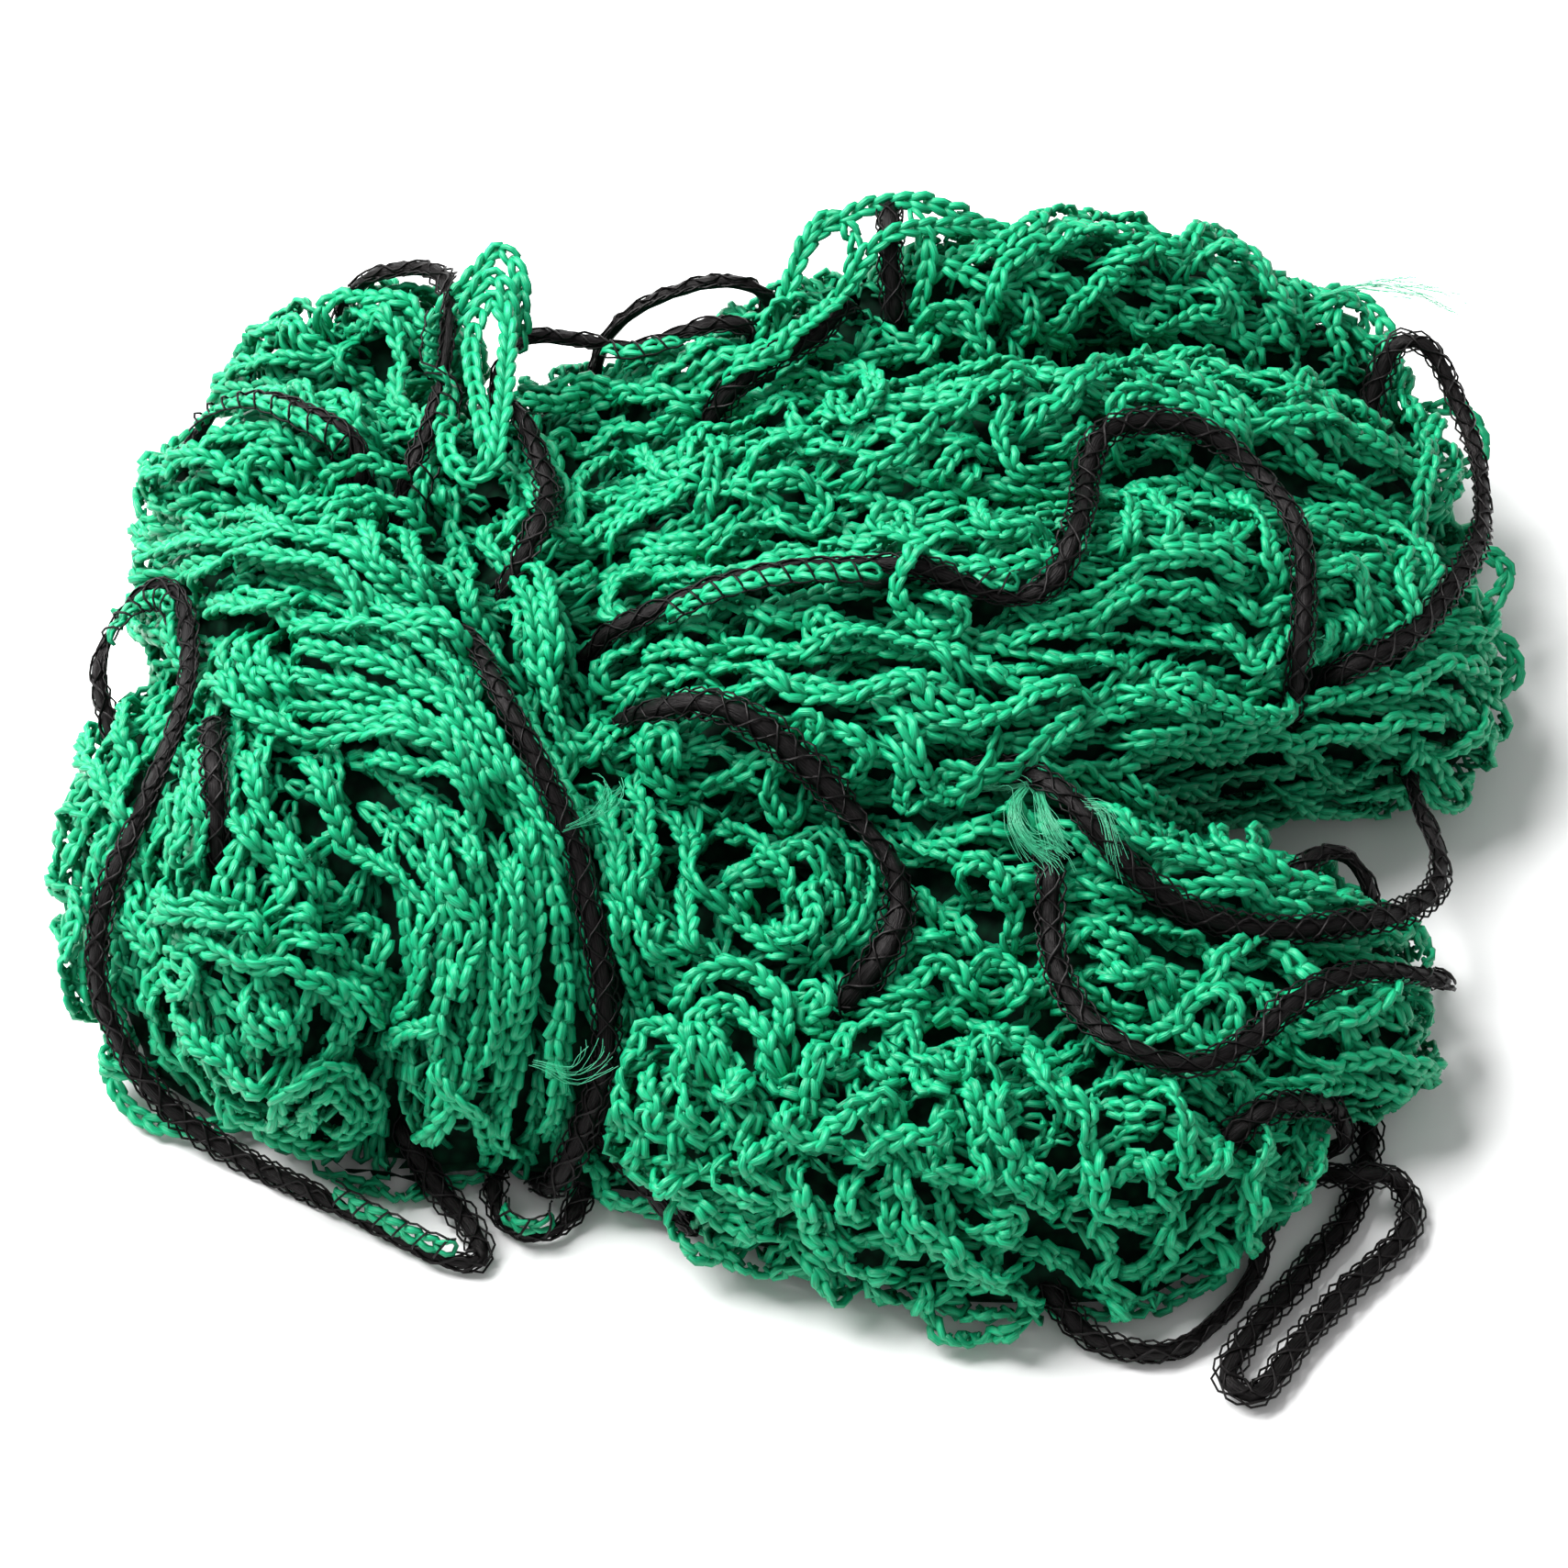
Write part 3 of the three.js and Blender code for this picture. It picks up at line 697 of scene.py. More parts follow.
# %% Bunches
BUNCHES = [
    # crest as (x, y, top), width, height, tousle
    ([(-118, 19, 44), (-90, 0, 66), (-66, -17, 69), (-49, -37, 61), (-42, -61, 43),
      (-46, -75, 24)], 30, 52, 12),
    ([(-107, 3, 52), (-81, -21, 66), (-64, -45, 61), (-59, -64, 45), (-64, -75, 26)], 24, 48, 16),
    ([(-104, -5, 56), (-96, -35, 61), (-92, -55, 51), (-91, -71, 36)], 42, 60, 40),
    ([(-114, 13, 42), (-122, -13, 42), (-120, -41, 34), (-108, -63, 18)], 26, 44, 26),
    ([(-118, -53, 15), (-103, -68, 9), (-84, -77, 8), (-66, -81, 9), (-52, -75, 14)], 20, 18, 50),
    ([(-122, 31, 38), (-96, 18, 63), (-74, 12, 66), (-58, 7, 60)], 22, 44, 14),
    ([(-116, 61, 34), (-98, 52, 57), (-78, 49, 61), (-58, 43, 57)], 34, 56, 50),
    ([(-102, 92, 30), (-84, 91, 50), (-62, 85, 53)], 32, 50, 50),
    ([(-55, 81, 44), (-53, 35, 58), (-48, -3, 60), (-42, -25, 55)], 26, 54, 28),
    ([(-64, 68, 42), (-44, 74, 48), (-24, 78, 51), (0, 82, 54)], 26, 50, 30),
    ([(-44, 63, 46), (-8, 77, 57), (28, 92, 62), (66, 101, 57), (94, 97, 44), (110, 87, 28)], 38, 60, 40),
    ([(-44, 27, 56), (-4, 37, 64), (38, 49, 68), (80, 58, 58), (108, 57, 38), (122, 51, 22)], 42, 60, 34),
    ([(-44, 1, 57), (2, 5, 68), (44, 15, 69), (86, 24, 57), (114, 27, 39), (125, 29, 24)], 38, 58, 30),
    ([(-42, -21, 55), (0, -17, 64), (42, -13, 61), (78, 3, 50), (112, 11, 36), (127, 15, 20)], 30, 44, 24),
    ([(86, 107, 46), (104, 97, 41), (117, 81, 35), (123, 63, 28)], 15, 15, 40),
    ([(-30, -19, 52), (-30, -49, 52), (-14, -67, 46), (6, -67, 42), (14, -49, 46)], 18, 42, 26),
    ([(-15, -51, 48), (-8, -40, 54), (4, -44, 53), (4, -57, 49), (-8, -57, 48)], 12, 40, 16),
    ([(10, -33, 50), (46, -41, 52), (80, -41, 40), (110, -35, 20)], 28, 46, 30),
    ([(30, -55, 44), (64, -61, 41), (92, -61, 32), (110, -55, 18)], 28, 44, 40),
    ([(-38, -67, 38), (-8, -83, 41), (26, -89, 41), (58, -87, 38), (88, -75, 24)], 42, 58, 65),
    ([(-36, -79, 14), (-4, -96, 16), (28, -106, 16), (56, -106, 15), (82, -89, 12)], 20, 26, 60),
    ([(-74, -78, 8), (-52, -80, 10), (-34, -82, 11), (-10, -92, 14)], 18, 20, 25),
]
CREST_STEP = 3 * MM


def tree_of(points):
    """A search tree that finds the nearest of many points fast."""
    tree = KDTree(len(points))
    for number, point in enumerate(points):
        tree.insert(point, number)
    tree.balance()
    return tree


def flow_on_skin(middles):
    """The bunch direction and the tousle, in radians, at each point."""
    best = np.full(len(middles), np.inf)
    flow = np.zeros_like(middles)
    tousle = np.zeros(len(middles))
    for crest, width, height, degrees in BUNCHES:
        crest = np.array(crest, float) * MM
        crest[:, 2] -= height / 2 * MM
        axis = smooth_line(crest, CREST_STEP)
        ahead, side, over = frames(axis, facing(UP, axis))
        tree = tree_of(axis)
        near = np.array([tree.find(point)[1] for point in middles])
        offset = middles - axis[near]
        score = sum((np.einsum("ij,ij->i", offset, way[near]) / (reach * MM)) ** 2
                    for way, reach in ((side, width / 2), (over, height / 2), (ahead, width / 3)))
        better = score < best
        best[better] = score[better]
        flow[better] = ahead[near][better]
        tousle[better] = degrees
    return flow, np.radians(tousle)


skin_middles = skin_points[skin_faces].mean(axis=1)
skin_flow, skin_tousle = flow_on_skin(skin_middles)
print("directions on", len(skin_flow), "faces")

# %% [markdown]
# ## Open loops
# Some strands leave the heap altogether and make open loops at its rim, and a few stand up on the left.
# Those at the rim follow the routes of the solids, and three more strands run free along the crest at the
# back. No other strand is laid on a loop, so the faces of the skin that are part of a thin loop are marked.

# %% Rim loops
STRAND_LOOPS = [
    [(-63, 54, 56), (-66, 45, 61), (-65, 38, 62), (-61, 33, 62), (-57, 36, 63), (-56, 45, 64),
     (-55.5, 56, 65),
     (-55.5, 68, 66), (-58.5, 75, 67), (-61.5, 69, 66), (-61.5, 58, 65), (-60, 48, 64), (-58.5, 40, 62),
     (-59, 34, 56)],
    [(-72, 74, 54), (-68, 80, 60), (-62, 84, 64), (-58, 89, 66), (-54.5, 86, 65), (-53, 80, 62),
     (-54, 72, 54)],
    [(-68, 74, 56), (-63, 78, 63), (-59, 82, 66), (-56, 79, 65), (-55, 73, 60)],
    [(-114, -51, 14), (-124, -57, 5), (-122, -64, 3), (-112, -70, 3), (-96, -69, 5)],
    [(118, 51, 22), (131, 51, 22), (134, 48, 20), (130, 43, 17), (120, 41, 16)],
    [(116, 29, 22), (130, 31, 21), (134, 27, 17), (129, 22, 15), (118, 17, 16)],
    [(-6, 77, 52), (-1, 92, 61), (4, 100, 64), (9, 97, 63), (8, 87, 54)],
    [(96, 101, 36), (105, 108, 36), (113, 103, 33), (115, 91, 28)],
    [(118, 85, 26), (127, 85, 27), (131, 77, 24), (122, 69, 20)],
    [(-116, 67, 30), (-123, 73, 26), (-120, 81, 22), (-108, 81, 24)],
    [(72, 105, 44), (76, 117, 42), (84, 118, 40), (88, 107, 36)],
]
REAR_STRANDS = [
    [(-1, 93, 60), (3, 97, 63), (8, 99, 64.5), (12.5, 101, 65.5), (21, 102, 66), (28, 101.5, 64),
     (37, 101, 59)],
    [(4, 82, 56), (8, 86, 60), (12, 90, 64), (17, 92.5, 67), (24, 95, 66), (31, 97, 64), (39, 99, 60)],
    [(20, 98, 68), (23, 93, 65), (23, 88, 60), (21, 84, 54)],
]
STRAND_STEP = 0.9 * MM
THIN = 5.5 * MM
THICKNESS_ASKED = 9 * MM
JUST_INSIDE = 0.2 * MM
LOOP_REACH = 3.0 * MM
loop_lines = [route_line(route, STRAND_STEP) for route in STRAND_LOOPS]
loop_tree = tree_of(np.vstack(loop_lines))


def thickness(points, normals, tree, most):
    """How thick a body is under each point of its surface, up to a limit."""
    result = np.full(len(points), most)
    for i, (point, normal) in enumerate(zip(points, normals)):
        hit, _, _, depth = tree.ray_cast(Vector(point - JUST_INSIDE * normal), Vector(-normal), most)
        if hit is not None:
            result[i] = depth
    return result


def on_loops(points, reach):
    return np.array([loop_tree.find(point)[2] < reach for point in points])


thin_face = thickness(skin_middles, skin_normals, skin, THICKNESS_ASKED) < THIN
thin_face |= on_loops(skin_middles, LOOP_REACH)
print("thin loops take", int(thin_face.sum()), "of", len(thin_face), "faces")

# %% [markdown]
# ## Strands that stand out
# Each row follows one strand through the picture. Its pixels are cast onto the skin, so the strand lies on
# the heap from every side, and a valley that it spans is bridged as by a slack string. The lift says how
# high above the skin it lies, and a lift over three millimetres takes it over a cord.

# %% Features
FEATURES = [
    # lift in millimetres, then the pixels that the strand passes
    # nub
    (1.6, [(360, 388), (338, 372), (322, 350), (307, 346), (303, 360), (318, 370)]),
    # nub rim
    (1.6, [(342, 372), (350, 348), (372, 334), (398, 334), (420, 332), (445, 343), (468, 358), (488, 372)]),
    (1.6, [(272, 404), (300, 397), (335, 391), (362, 388), (385, 395)]),
    (1.6, [(258, 432), (285, 424), (318, 420), (350, 430), (378, 450), (395, 470)]),
    (1.6, [(375, 360), (378, 385), (388, 408), (405, 420), (425, 428), (445, 420)]),
    (1.6, [(385, 345), (410, 350), (432, 362), (440, 385), (436, 410), (442, 440), (455, 470)]),
    (1.6, [(455, 365), (475, 385), (478, 415), (480, 445), (470, 470), (462, 492)]),
    (1.6, [(205, 460), (235, 448), (262, 440)]),
    (1.6, [(262, 478), (290, 470), (318, 480), (345, 505), (350, 530)]),
    (1.6, [(270, 500), (290, 520), (310, 540), (330, 548), (352, 545)]),
    (1.6, [(265, 540), (272, 515), (285, 500), (305, 503), (318, 520), (325, 540)]),
    (1.6, [(200, 510), (235, 505), (262, 520), (285, 545), (300, 550)]),
    (1.6, [(165, 550), (200, 548), (240, 545), (280, 548)]),
    (1.6, [(160, 580), (195, 575), (235, 572), (270, 575), (300, 580), (330, 590)]),
    # fold
    (1.6, [(195, 600), (240, 595), (290, 592), (335, 592), (370, 598), (395, 615), (415, 640), (425, 665)]),
    (1.6, [(190, 625), (235, 617), (285, 613), (330, 615), (365, 625), (390, 645), (410, 672), (445, 690),
          (480, 710)]),
    (1.6, [(200, 645), (245, 637), (290, 634), (335, 638), (365, 650), (385, 668)]),
    (1.6, [(215, 665), (250, 662), (290, 668), (325, 662), (352, 650)]),
    (1.6, [(190, 655), (185, 680), (195, 705), (205, 730), (220, 735), (230, 715)]),
    (1.6, [(250, 680), (252, 710), (258, 740), (270, 765)]),
    (1.6, [(272, 678), (275, 710), (282, 745), (295, 775)]),
    (1.6, [(295, 680), (292, 710), (300, 740), (330, 760)]),
    # band
    (1.8, [(330, 690), (370, 690), (410, 695), (450, 710), (485, 735), (515, 775), (545, 820), (572, 870),
          (590, 905)]),
    (1.8, [(305, 715), (345, 712), (390, 720), (435, 735), (470, 755), (505, 790), (535, 830), (560, 880)]),
    (1.8, [(300, 745), (340, 748), (385, 755), (430, 768), (465, 785), (495, 810), (525, 845), (545, 890)]),
    (1.8, [(305, 775), (345, 778), (390, 785), (430, 795), (465, 805), (500, 822)]),
    (1.8, [(250, 770), (280, 790), (310, 800), (350, 803), (400, 805), (440, 815), (475, 832), (505, 860),
          (525, 900)]),
    (1.8, [(420, 690), (460, 690), (495, 700), (515, 730), (520, 760)]),
    # saddle
    (1.6, [(540, 560), (535, 595), (555, 620), (570, 650), (580, 690), (590, 730), (595, 770)]),
    (1.6, [(560, 600), (585, 630), (592, 670), (597, 710), (605, 750)]),
    (1.6, [(520, 620), (525, 660), (540, 690), (550, 720), (560, 750)]),
    (1.6, [(400, 560), (400, 590), (415, 620), (440, 640), (455, 670), (475, 690)]),
    (1.6, [(425, 560), (430, 590), (445, 615), (462, 640), (470, 665)]),
    (1.6, [(555, 440), (590, 445), (620, 440), (650, 430)]),
    (1.6, [(560, 470), (585, 490), (600, 520), (605, 560)]),
    (1.6, [(600, 590), (630, 575), (655, 560), (690, 545)]),
    # back rim
    (1.6, [(797, 345), (815, 335), (835, 330), (855, 325), (875, 315), (890, 305), (910, 302), (930, 310)]),
    (1.6, [(800, 352), (830, 350), (850, 344), (870, 332), (890, 320)]),
    (4.0, [(918, 303), (928, 318), (922, 335), (905, 350), (885, 362), (865, 375), (845, 388), (825, 400),
          (805, 412), (790, 422), (775, 432)]),
    (1.8, [(880, 330), (850, 345), (820, 358), (795, 368), (775, 380), (755, 395), (738, 412), (715, 425),
          (700, 432)]),
    (1.8, [(650, 437), (680, 432), (710, 435), (740, 437), (765, 437), (790, 445), (820, 440), (845, 425),
          (865, 412), (885, 408), (905, 420)]),
    (2.0, [(955, 440), (975, 430), (1000, 420), (1020, 412), (1040, 405), (1060, 412)]),
    (2.0, [(915, 400), (935, 393), (960, 390), (985, 385), (1005, 378), (1020, 365)]),
    # ring
    (2.0, [(1005, 372), (1006, 350), (1014, 336), (1030, 332), (1048, 340), (1058, 356), (1056, 372),
          (1042, 384), (1055, 398), (1072, 410)]),
    (1.8, [(640, 500), (665, 490), (690, 478), (715, 475), (740, 465), (770, 455), (795, 452)]),
    (1.8, [(755, 500), (760, 482), (780, 477), (805, 475), (830, 468), (850, 460), (870, 450), (890, 445),
          (905, 440)]),
    (1.6, [(830, 502), (850, 494), (870, 486), (890, 478), (902, 470)]),
    (1.8, [(700, 500), (712, 520), (735, 533), (755, 530), (775, 518), (786, 503)]),
    (1.8, [(770, 552), (780, 532), (790, 512), (786, 494)]),
    (1.8, [(632, 585), (635, 550), (640, 530), (655, 515), (680, 510), (702, 506)]),
    (1.8, [(590, 570), (597, 590), (612, 600), (632, 600), (652, 590)]),
    (2.0, [(650, 620), (675, 595), (695, 575), (715, 560), (740, 548), (765, 540), (785, 525)]),
    (1.6, [(600, 648), (620, 635), (645, 625), (660, 610)]),
    (1.6, [(700, 620), (715, 605), (740, 598), (765, 590), (785, 580), (795, 560), (810, 545)]),
    (2.2, [(760, 612), (790, 606), (815, 596), (832, 586), (845, 568), (838, 548), (825, 538)]),
    (2.2, [(805, 545), (830, 530), (855, 525), (880, 530), (898, 545), (902, 565), (890, 585), (868, 597),
          (845, 606)]),
    (1.8, [(905, 532), (930, 545), (955, 550), (985, 555), (1010, 548), (1040, 545), (1062, 552)]),
    # loop on the fan
    (2.4, [(985, 592), (988, 570), (975, 558), (957, 566), (955, 585), (970, 600), (995, 597), (1020, 592),
          (1045, 590), (1070, 588)]),
    (1.8, [(900, 532), (930, 520), (960, 505), (985, 490), (1005, 475), (1025, 460), (1045, 448),
          (1055, 440)]),
    (1.8, [(1008, 542), (1020, 525), (1035, 505), (1050, 490), (1065, 480)]),
    (1.8, [(1030, 542), (1045, 525), (1057, 510), (1066, 495)]),
    # above the fan
    (1.8, [(665, 645), (690, 640), (720, 637), (750, 642), (780, 640), (810, 632), (840, 622), (870, 617),
          (900, 618), (930, 618), (960, 620), (1000, 622), (1040, 622), (1080, 620)]),
    (1.6, [(690, 618), (720, 614), (755, 612), (790, 618)]),
    (2.6, [(712, 640), (690, 638), (672, 648), (667, 665), (680, 682), (700, 688), (710, 702), (698, 712),
          (678, 716), (660, 722), (654, 738), (668, 751), (688, 750), (698, 738), (702, 724)]),
    (2.4, [(945, 690), (925, 695), (908, 688), (905, 668), (893, 660), (882, 672), (886, 692), (905, 706),
          (930, 712), (955, 716), (980, 722)]),
    (1.8, [(795, 700), (830, 712), (855, 725), (880, 730), (905, 728), (935, 720), (960, 726)]),
    (1.8, [(740, 720), (770, 725), (800, 735), (830, 745), (855, 755), (885, 762), (915, 762), (945, 755),
          (970, 745), (1000, 755), (1010, 775), (1030, 785), (1055, 790), (1080, 784), (1100, 772)]),
    (1.8, [(690, 725), (715, 715), (745, 705), (770, 708), (795, 716)]),
    (1.8, [(620, 820), (645, 830), (665, 815), (680, 795), (695, 775), (715, 760), (740, 755)]),
    (1.6, [(650, 795), (675, 772), (700, 755), (725, 745), (755, 748)]),
    (2.0, [(890, 790), (915, 796), (938, 803), (946, 820), (935, 838), (915, 842)]),
    (2.0, [(870, 795), (874, 780), (890, 778), (898, 790), (888, 802)]),
    # inner loop
    (2.2, [(850, 825), (840, 845), (842, 870), (855, 886), (872, 880), (882, 862)]),
    (1.8, [(735, 832), (742, 815), (733, 798), (715, 795), (705, 808), (708, 830), (718, 850), (738, 864),
          (758, 872)]),
    (1.8, [(715, 870), (725, 895), (735, 925), (738, 960), (740, 995), (745, 1020), (760, 1040),
          (782, 1044)]),
    (1.8, [(755, 870), (758, 900), (758, 935), (768, 965), (785, 985), (800, 1005), (815, 1020),
          (840, 1030), (865, 1040), (890, 1045)]),
    (1.6, [(790, 952), (805, 968), (816, 988), (822, 1008)]),
    # spiral
    (1.8, [(770, 925), (790, 906), (820, 897), (848, 904), (868, 917), (885, 932), (900, 950)]),
    (1.8, [(805, 942), (828, 930), (853, 938), (868, 953), (874, 975), (868, 996)]),
    (1.8, [(825, 998), (843, 1015), (865, 1025), (885, 1016), (896, 996), (894, 972), (885, 952)]),
    (1.8, [(905, 885), (915, 920), (925, 945), (930, 975), (930, 1005), (920, 1030), (905, 1045)]),
    (1.6, [(660, 895), (668, 925), (680, 955), (692, 982), (705, 1010), (722, 1036), (742, 1050)]),
    (1.6, [(700, 905), (705, 940), (702, 975), (712, 1005)]),
    (1.6, [(655, 985), (664, 1010), (674, 1030), (682, 1052)]),
    (1.6, [(612, 900), (624, 912), (630, 935), (634, 965), (641, 992), (647, 1020), (652, 1042)]),
    # arch rim
    (1.6, [(1115, 258), (1140, 249), (1170, 245), (1200, 249), (1225, 244)]),
    (1.8, [(1085, 332), (1074, 316), (1085, 300), (1105, 286), (1130, 275), (1155, 265), (1180, 258),
          (1205, 262), (1230, 262), (1255, 268), (1282, 280)]),
    (1.8, [(1195, 270), (1210, 286), (1228, 282), (1252, 281), (1276, 285), (1292, 272), (1302, 258)]),
    (1.6, [(1235, 241), (1255, 235), (1280, 240), (1305, 250), (1325, 255), (1345, 262), (1365, 275),
          (1376, 292), (1381, 312)]),
    (1.8, [(1292, 305), (1300, 286), (1316, 280), (1336, 280), (1356, 290), (1367, 308)]),
    (2.0, [(1298, 312), (1315, 308), (1327, 324), (1320, 342), (1302, 345)]),
    (1.8, [(1150, 347), (1165, 330), (1180, 318), (1200, 305), (1222, 298)]),
    (2.0, [(1103, 390), (1114, 362), (1121, 340), (1118, 320), (1108, 308)]),
    (2.2, [(1042, 330), (1052, 355), (1063, 378), (1074, 396), (1086, 410), (1095, 396), (1102, 375),
          (1112, 352)]),
    (1.8, [(1150, 442), (1170, 425), (1190, 415), (1215, 405), (1240, 402), (1265, 408), (1290, 420),
          (1315, 435), (1335, 450), (1355, 470), (1372, 492)]),
    (1.8, [(1216, 460), (1212, 445), (1226, 435), (1250, 431), (1275, 440), (1300, 450), (1325, 465),
          (1345, 480), (1366, 500)]),
    (1.8, [(1098, 445), (1086, 468), (1088, 492), (1105, 514), (1135, 516), (1165, 510), (1182, 500)]),
    (1.8, [(1155, 488), (1172, 474), (1190, 462), (1196, 448)]),
    (1.6, [(1055, 545), (1075, 535), (1105, 530), (1130, 535), (1152, 547)]),
    (2.0, [(1060, 552), (1064, 578), (1084, 590), (1105, 581), (1125, 576), (1142, 592)]),
    (1.6, [(1205, 542), (1225, 535), (1250, 531), (1280, 535), (1305, 541)]),
    (1.8, [(1212, 548), (1226, 566), (1231, 590), (1225, 615)]),
    (1.8, [(1250, 552), (1268, 562), (1276, 584), (1266, 606)]),
    (1.6, [(1200, 640), (1230, 625), (1255, 610), (1285, 605), (1315, 610), (1342, 622)]),
    (1.8, [(1330, 545), (1355, 560), (1370, 580), (1380, 605), (1386, 635), (1380, 662)]),
    (1.8, [(1155, 682), (1180, 665), (1205, 655), (1235, 645), (1260, 638), (1290, 640), (1320, 650),
          (1342, 667)]),
    (1.6, [(1222, 663), (1250, 668), (1280, 672), (1305, 684), (1328, 692)]),
    (1.8, [(1345, 650), (1355, 668), (1374, 676), (1388, 664)]),
    (1.6, [(1362, 458), (1395, 461), (1428, 458), (1455, 470)]),
    (1.6, [(1368, 428), (1388, 447), (1408, 438), (1424, 424)]),
    # ball
    (2.2, [(1478, 580), (1505, 581), (1530, 590), (1546, 605), (1556, 626), (1553, 652), (1546, 677),
          (1532, 696), (1510, 706), (1490, 710)]),
    (2.0, [(1526, 622), (1520, 648), (1531, 668), (1521, 690), (1502, 698), (1488, 688)]),
    (1.8, [(1438, 620), (1462, 615), (1480, 638), (1479, 664), (1485, 690), (1490, 715)]),
    (1.8, [(1430, 662), (1446, 676), (1444, 700), (1428, 716)]),
    (1.8, [(1455, 662), (1470, 680), (1470, 705), (1458, 722)]),
    (2.0, [(1295, 796), (1330, 791), (1365, 785), (1400, 775), (1430, 765), (1460, 755), (1495, 752),
          (1530, 750), (1547, 736), (1566, 728), (1588, 733)]),
    (1.8, [(1300, 755), (1340, 770), (1375, 775), (1410, 762), (1445, 758)]),
    (1.6, [(1395, 802), (1440, 796), (1480, 790), (1520, 785), (1555, 780), (1578, 791)]),
    (1.8, [(1560, 834), (1580, 812), (1600, 792), (1612, 768)]),
    (1.8, [(1245, 758), (1270, 764), (1295, 780), (1308, 797)]),
    (2.2, [(1298, 678), (1328, 690), (1344, 714), (1360, 735), (1376, 715), (1392, 694)]),
    (1.6, [(1532, 562), (1536, 530), (1546, 500), (1556, 476), (1567, 455)]),
    (1.6, [(1560, 552), (1576, 530), (1582, 505), (1576, 484)]),
    (1.6, [(1590, 692), (1610, 686), (1624, 672), (1615, 655)]),
    (1.6, [(1555, 855), (1535, 842), (1530, 822), (1545, 810)]),
    (1.8, [(700, 1252), (692, 1225), (690, 1195), (693, 1165), (705, 1140), (718, 1120), (731, 1115),
          (743, 1130), (748, 1155), (750, 1185), (756, 1215), (771, 1247)]),
    (1.8, [(715, 1160), (715, 1185), (722, 1210), (732, 1235), (741, 1262)]),
    (1.6, [(705, 1260), (716, 1280), (736, 1290), (756, 1275)]),
    # nested arcs
    (2.0, [(748, 1092), (755, 1070), (775, 1058), (800, 1055), (825, 1065), (840, 1080), (850, 1105),
          (855, 1130), (862, 1157)]),
    (2.0, [(770, 1192), (765, 1160), (762, 1130), (770, 1105), (785, 1088), (801, 1088), (815, 1105),
          (826, 1126), (840, 1146), (852, 1167)]),
    (1.8, [(785, 1152), (781, 1127), (787, 1107)]),
    (1.8, [(768, 1178), (785, 1196), (806, 1190), (816, 1174), (828, 1160)]),
    (1.8, [(778, 1208), (794, 1230), (808, 1242)]),
    (2.0, [(868, 1085), (884, 1074), (894, 1090), (886, 1105), (870, 1111), (876, 1126), (895, 1131),
          (911, 1116), (922, 1103)]),
    (2.2, [(900, 1167), (915, 1150), (930, 1130), (945, 1120), (965, 1115), (985, 1116), (995, 1135),
          (998, 1156), (1006, 1176), (1026, 1183), (1046, 1170), (1061, 1155), (1085, 1150), (1110, 1155),
          (1126, 1171), (1136, 1192)]),
    (2.0, [(862, 1188), (855, 1213), (861, 1236), (885, 1246), (906, 1240), (916, 1222), (931, 1210),
          (955, 1203), (980, 1205), (992, 1222)]),
    (1.8, [(950, 1160), (958, 1184), (974, 1182), (982, 1164)]),
    (1.8, [(908, 1252), (935, 1261), (960, 1250), (985, 1240), (1006, 1234), (1026, 1240), (1036, 1224),
          (1041, 1203)]),
    (1.8, [(985, 1245), (982, 1270), (985, 1295), (996, 1320), (1015, 1335), (1032, 1352)]),
    (1.8, [(1015, 1242), (1015, 1265), (1030, 1285), (1047, 1291)]),
    (1.8, [(1055, 1170), (1058, 1200), (1065, 1230), (1071, 1260), (1068, 1290), (1060, 1312)]),
    (1.8, [(1080, 1170), (1085, 1200), (1090, 1230), (1096, 1257)]),
    (1.8, [(942, 1268), (930, 1295), (926, 1320), (936, 1341), (948, 1328)]),
    (1.8, [(975, 1300), (965, 1320), (970, 1341), (987, 1347)]),
    (1.6, [(870, 1258), (875, 1285), (880, 1310), (886, 1335), (902, 1352)]),
    (1.6, [(836, 1238), (825, 1255), (822, 1276), (836, 1297)]),
    (1.6, [(780, 1248), (786, 1275), (800, 1295), (825, 1301), (852, 1306)]),
    (1.8, [(1060, 1325), (1080, 1320), (1105, 1318), (1115, 1331), (1095, 1341), (1070, 1335)]),
    (1.6, [(1110, 1248), (1116, 1270), (1132, 1287)]),
    # rings
    (2.4, [(1030, 1008), (1033, 1030), (1015, 1027), (995, 1025), (975, 1040), (964, 1060), (972, 1080),
          (990, 1082), (1005, 1066), (1012, 1046), (1030, 1058), (1050, 1075), (1060, 1095), (1086, 1098)]),
    (2.2, [(1056, 1088), (1050, 1066), (1065, 1050), (1090, 1052), (1110, 1065), (1116, 1085), (1100, 1099),
          (1076, 1099)]),
    (1.6, [(983, 985), (1005, 986), (1020, 1000), (1031, 1020)]),
    (1.8, [(898, 1048), (915, 1065), (916, 1085), (931, 1098), (960, 1098), (987, 1095)]),
    (1.6, [(1052, 962), (1056, 940), (1072, 930), (1088, 945), (1096, 966), (1101, 990), (1106, 1012),
          (1100, 1036)]),
    (1.6, [(1150, 852), (1180, 866), (1205, 886), (1225, 906), (1247, 917)]),
    (1.8, [(1200, 850), (1230, 865), (1260, 880), (1285, 895), (1305, 910), (1330, 925), (1355, 940),
          (1382, 951)]),
    (1.8, [(1225, 848), (1252, 858), (1278, 874), (1302, 894), (1330, 909), (1362, 926)]),
    (1.6, [(1210, 902), (1236, 921), (1266, 931), (1300, 936), (1330, 946), (1366, 961)]),
    (1.6, [(1258, 970), (1290, 967), (1325, 968), (1360, 972), (1392, 987)]),
    (1.6, [(1170, 985), (1195, 1000), (1225, 1010), (1260, 1020), (1295, 1035), (1330, 1041)]),
    (2.0, [(1163, 1032), (1180, 1015), (1196, 1024), (1215, 1035), (1236, 1040), (1248, 1056)]),
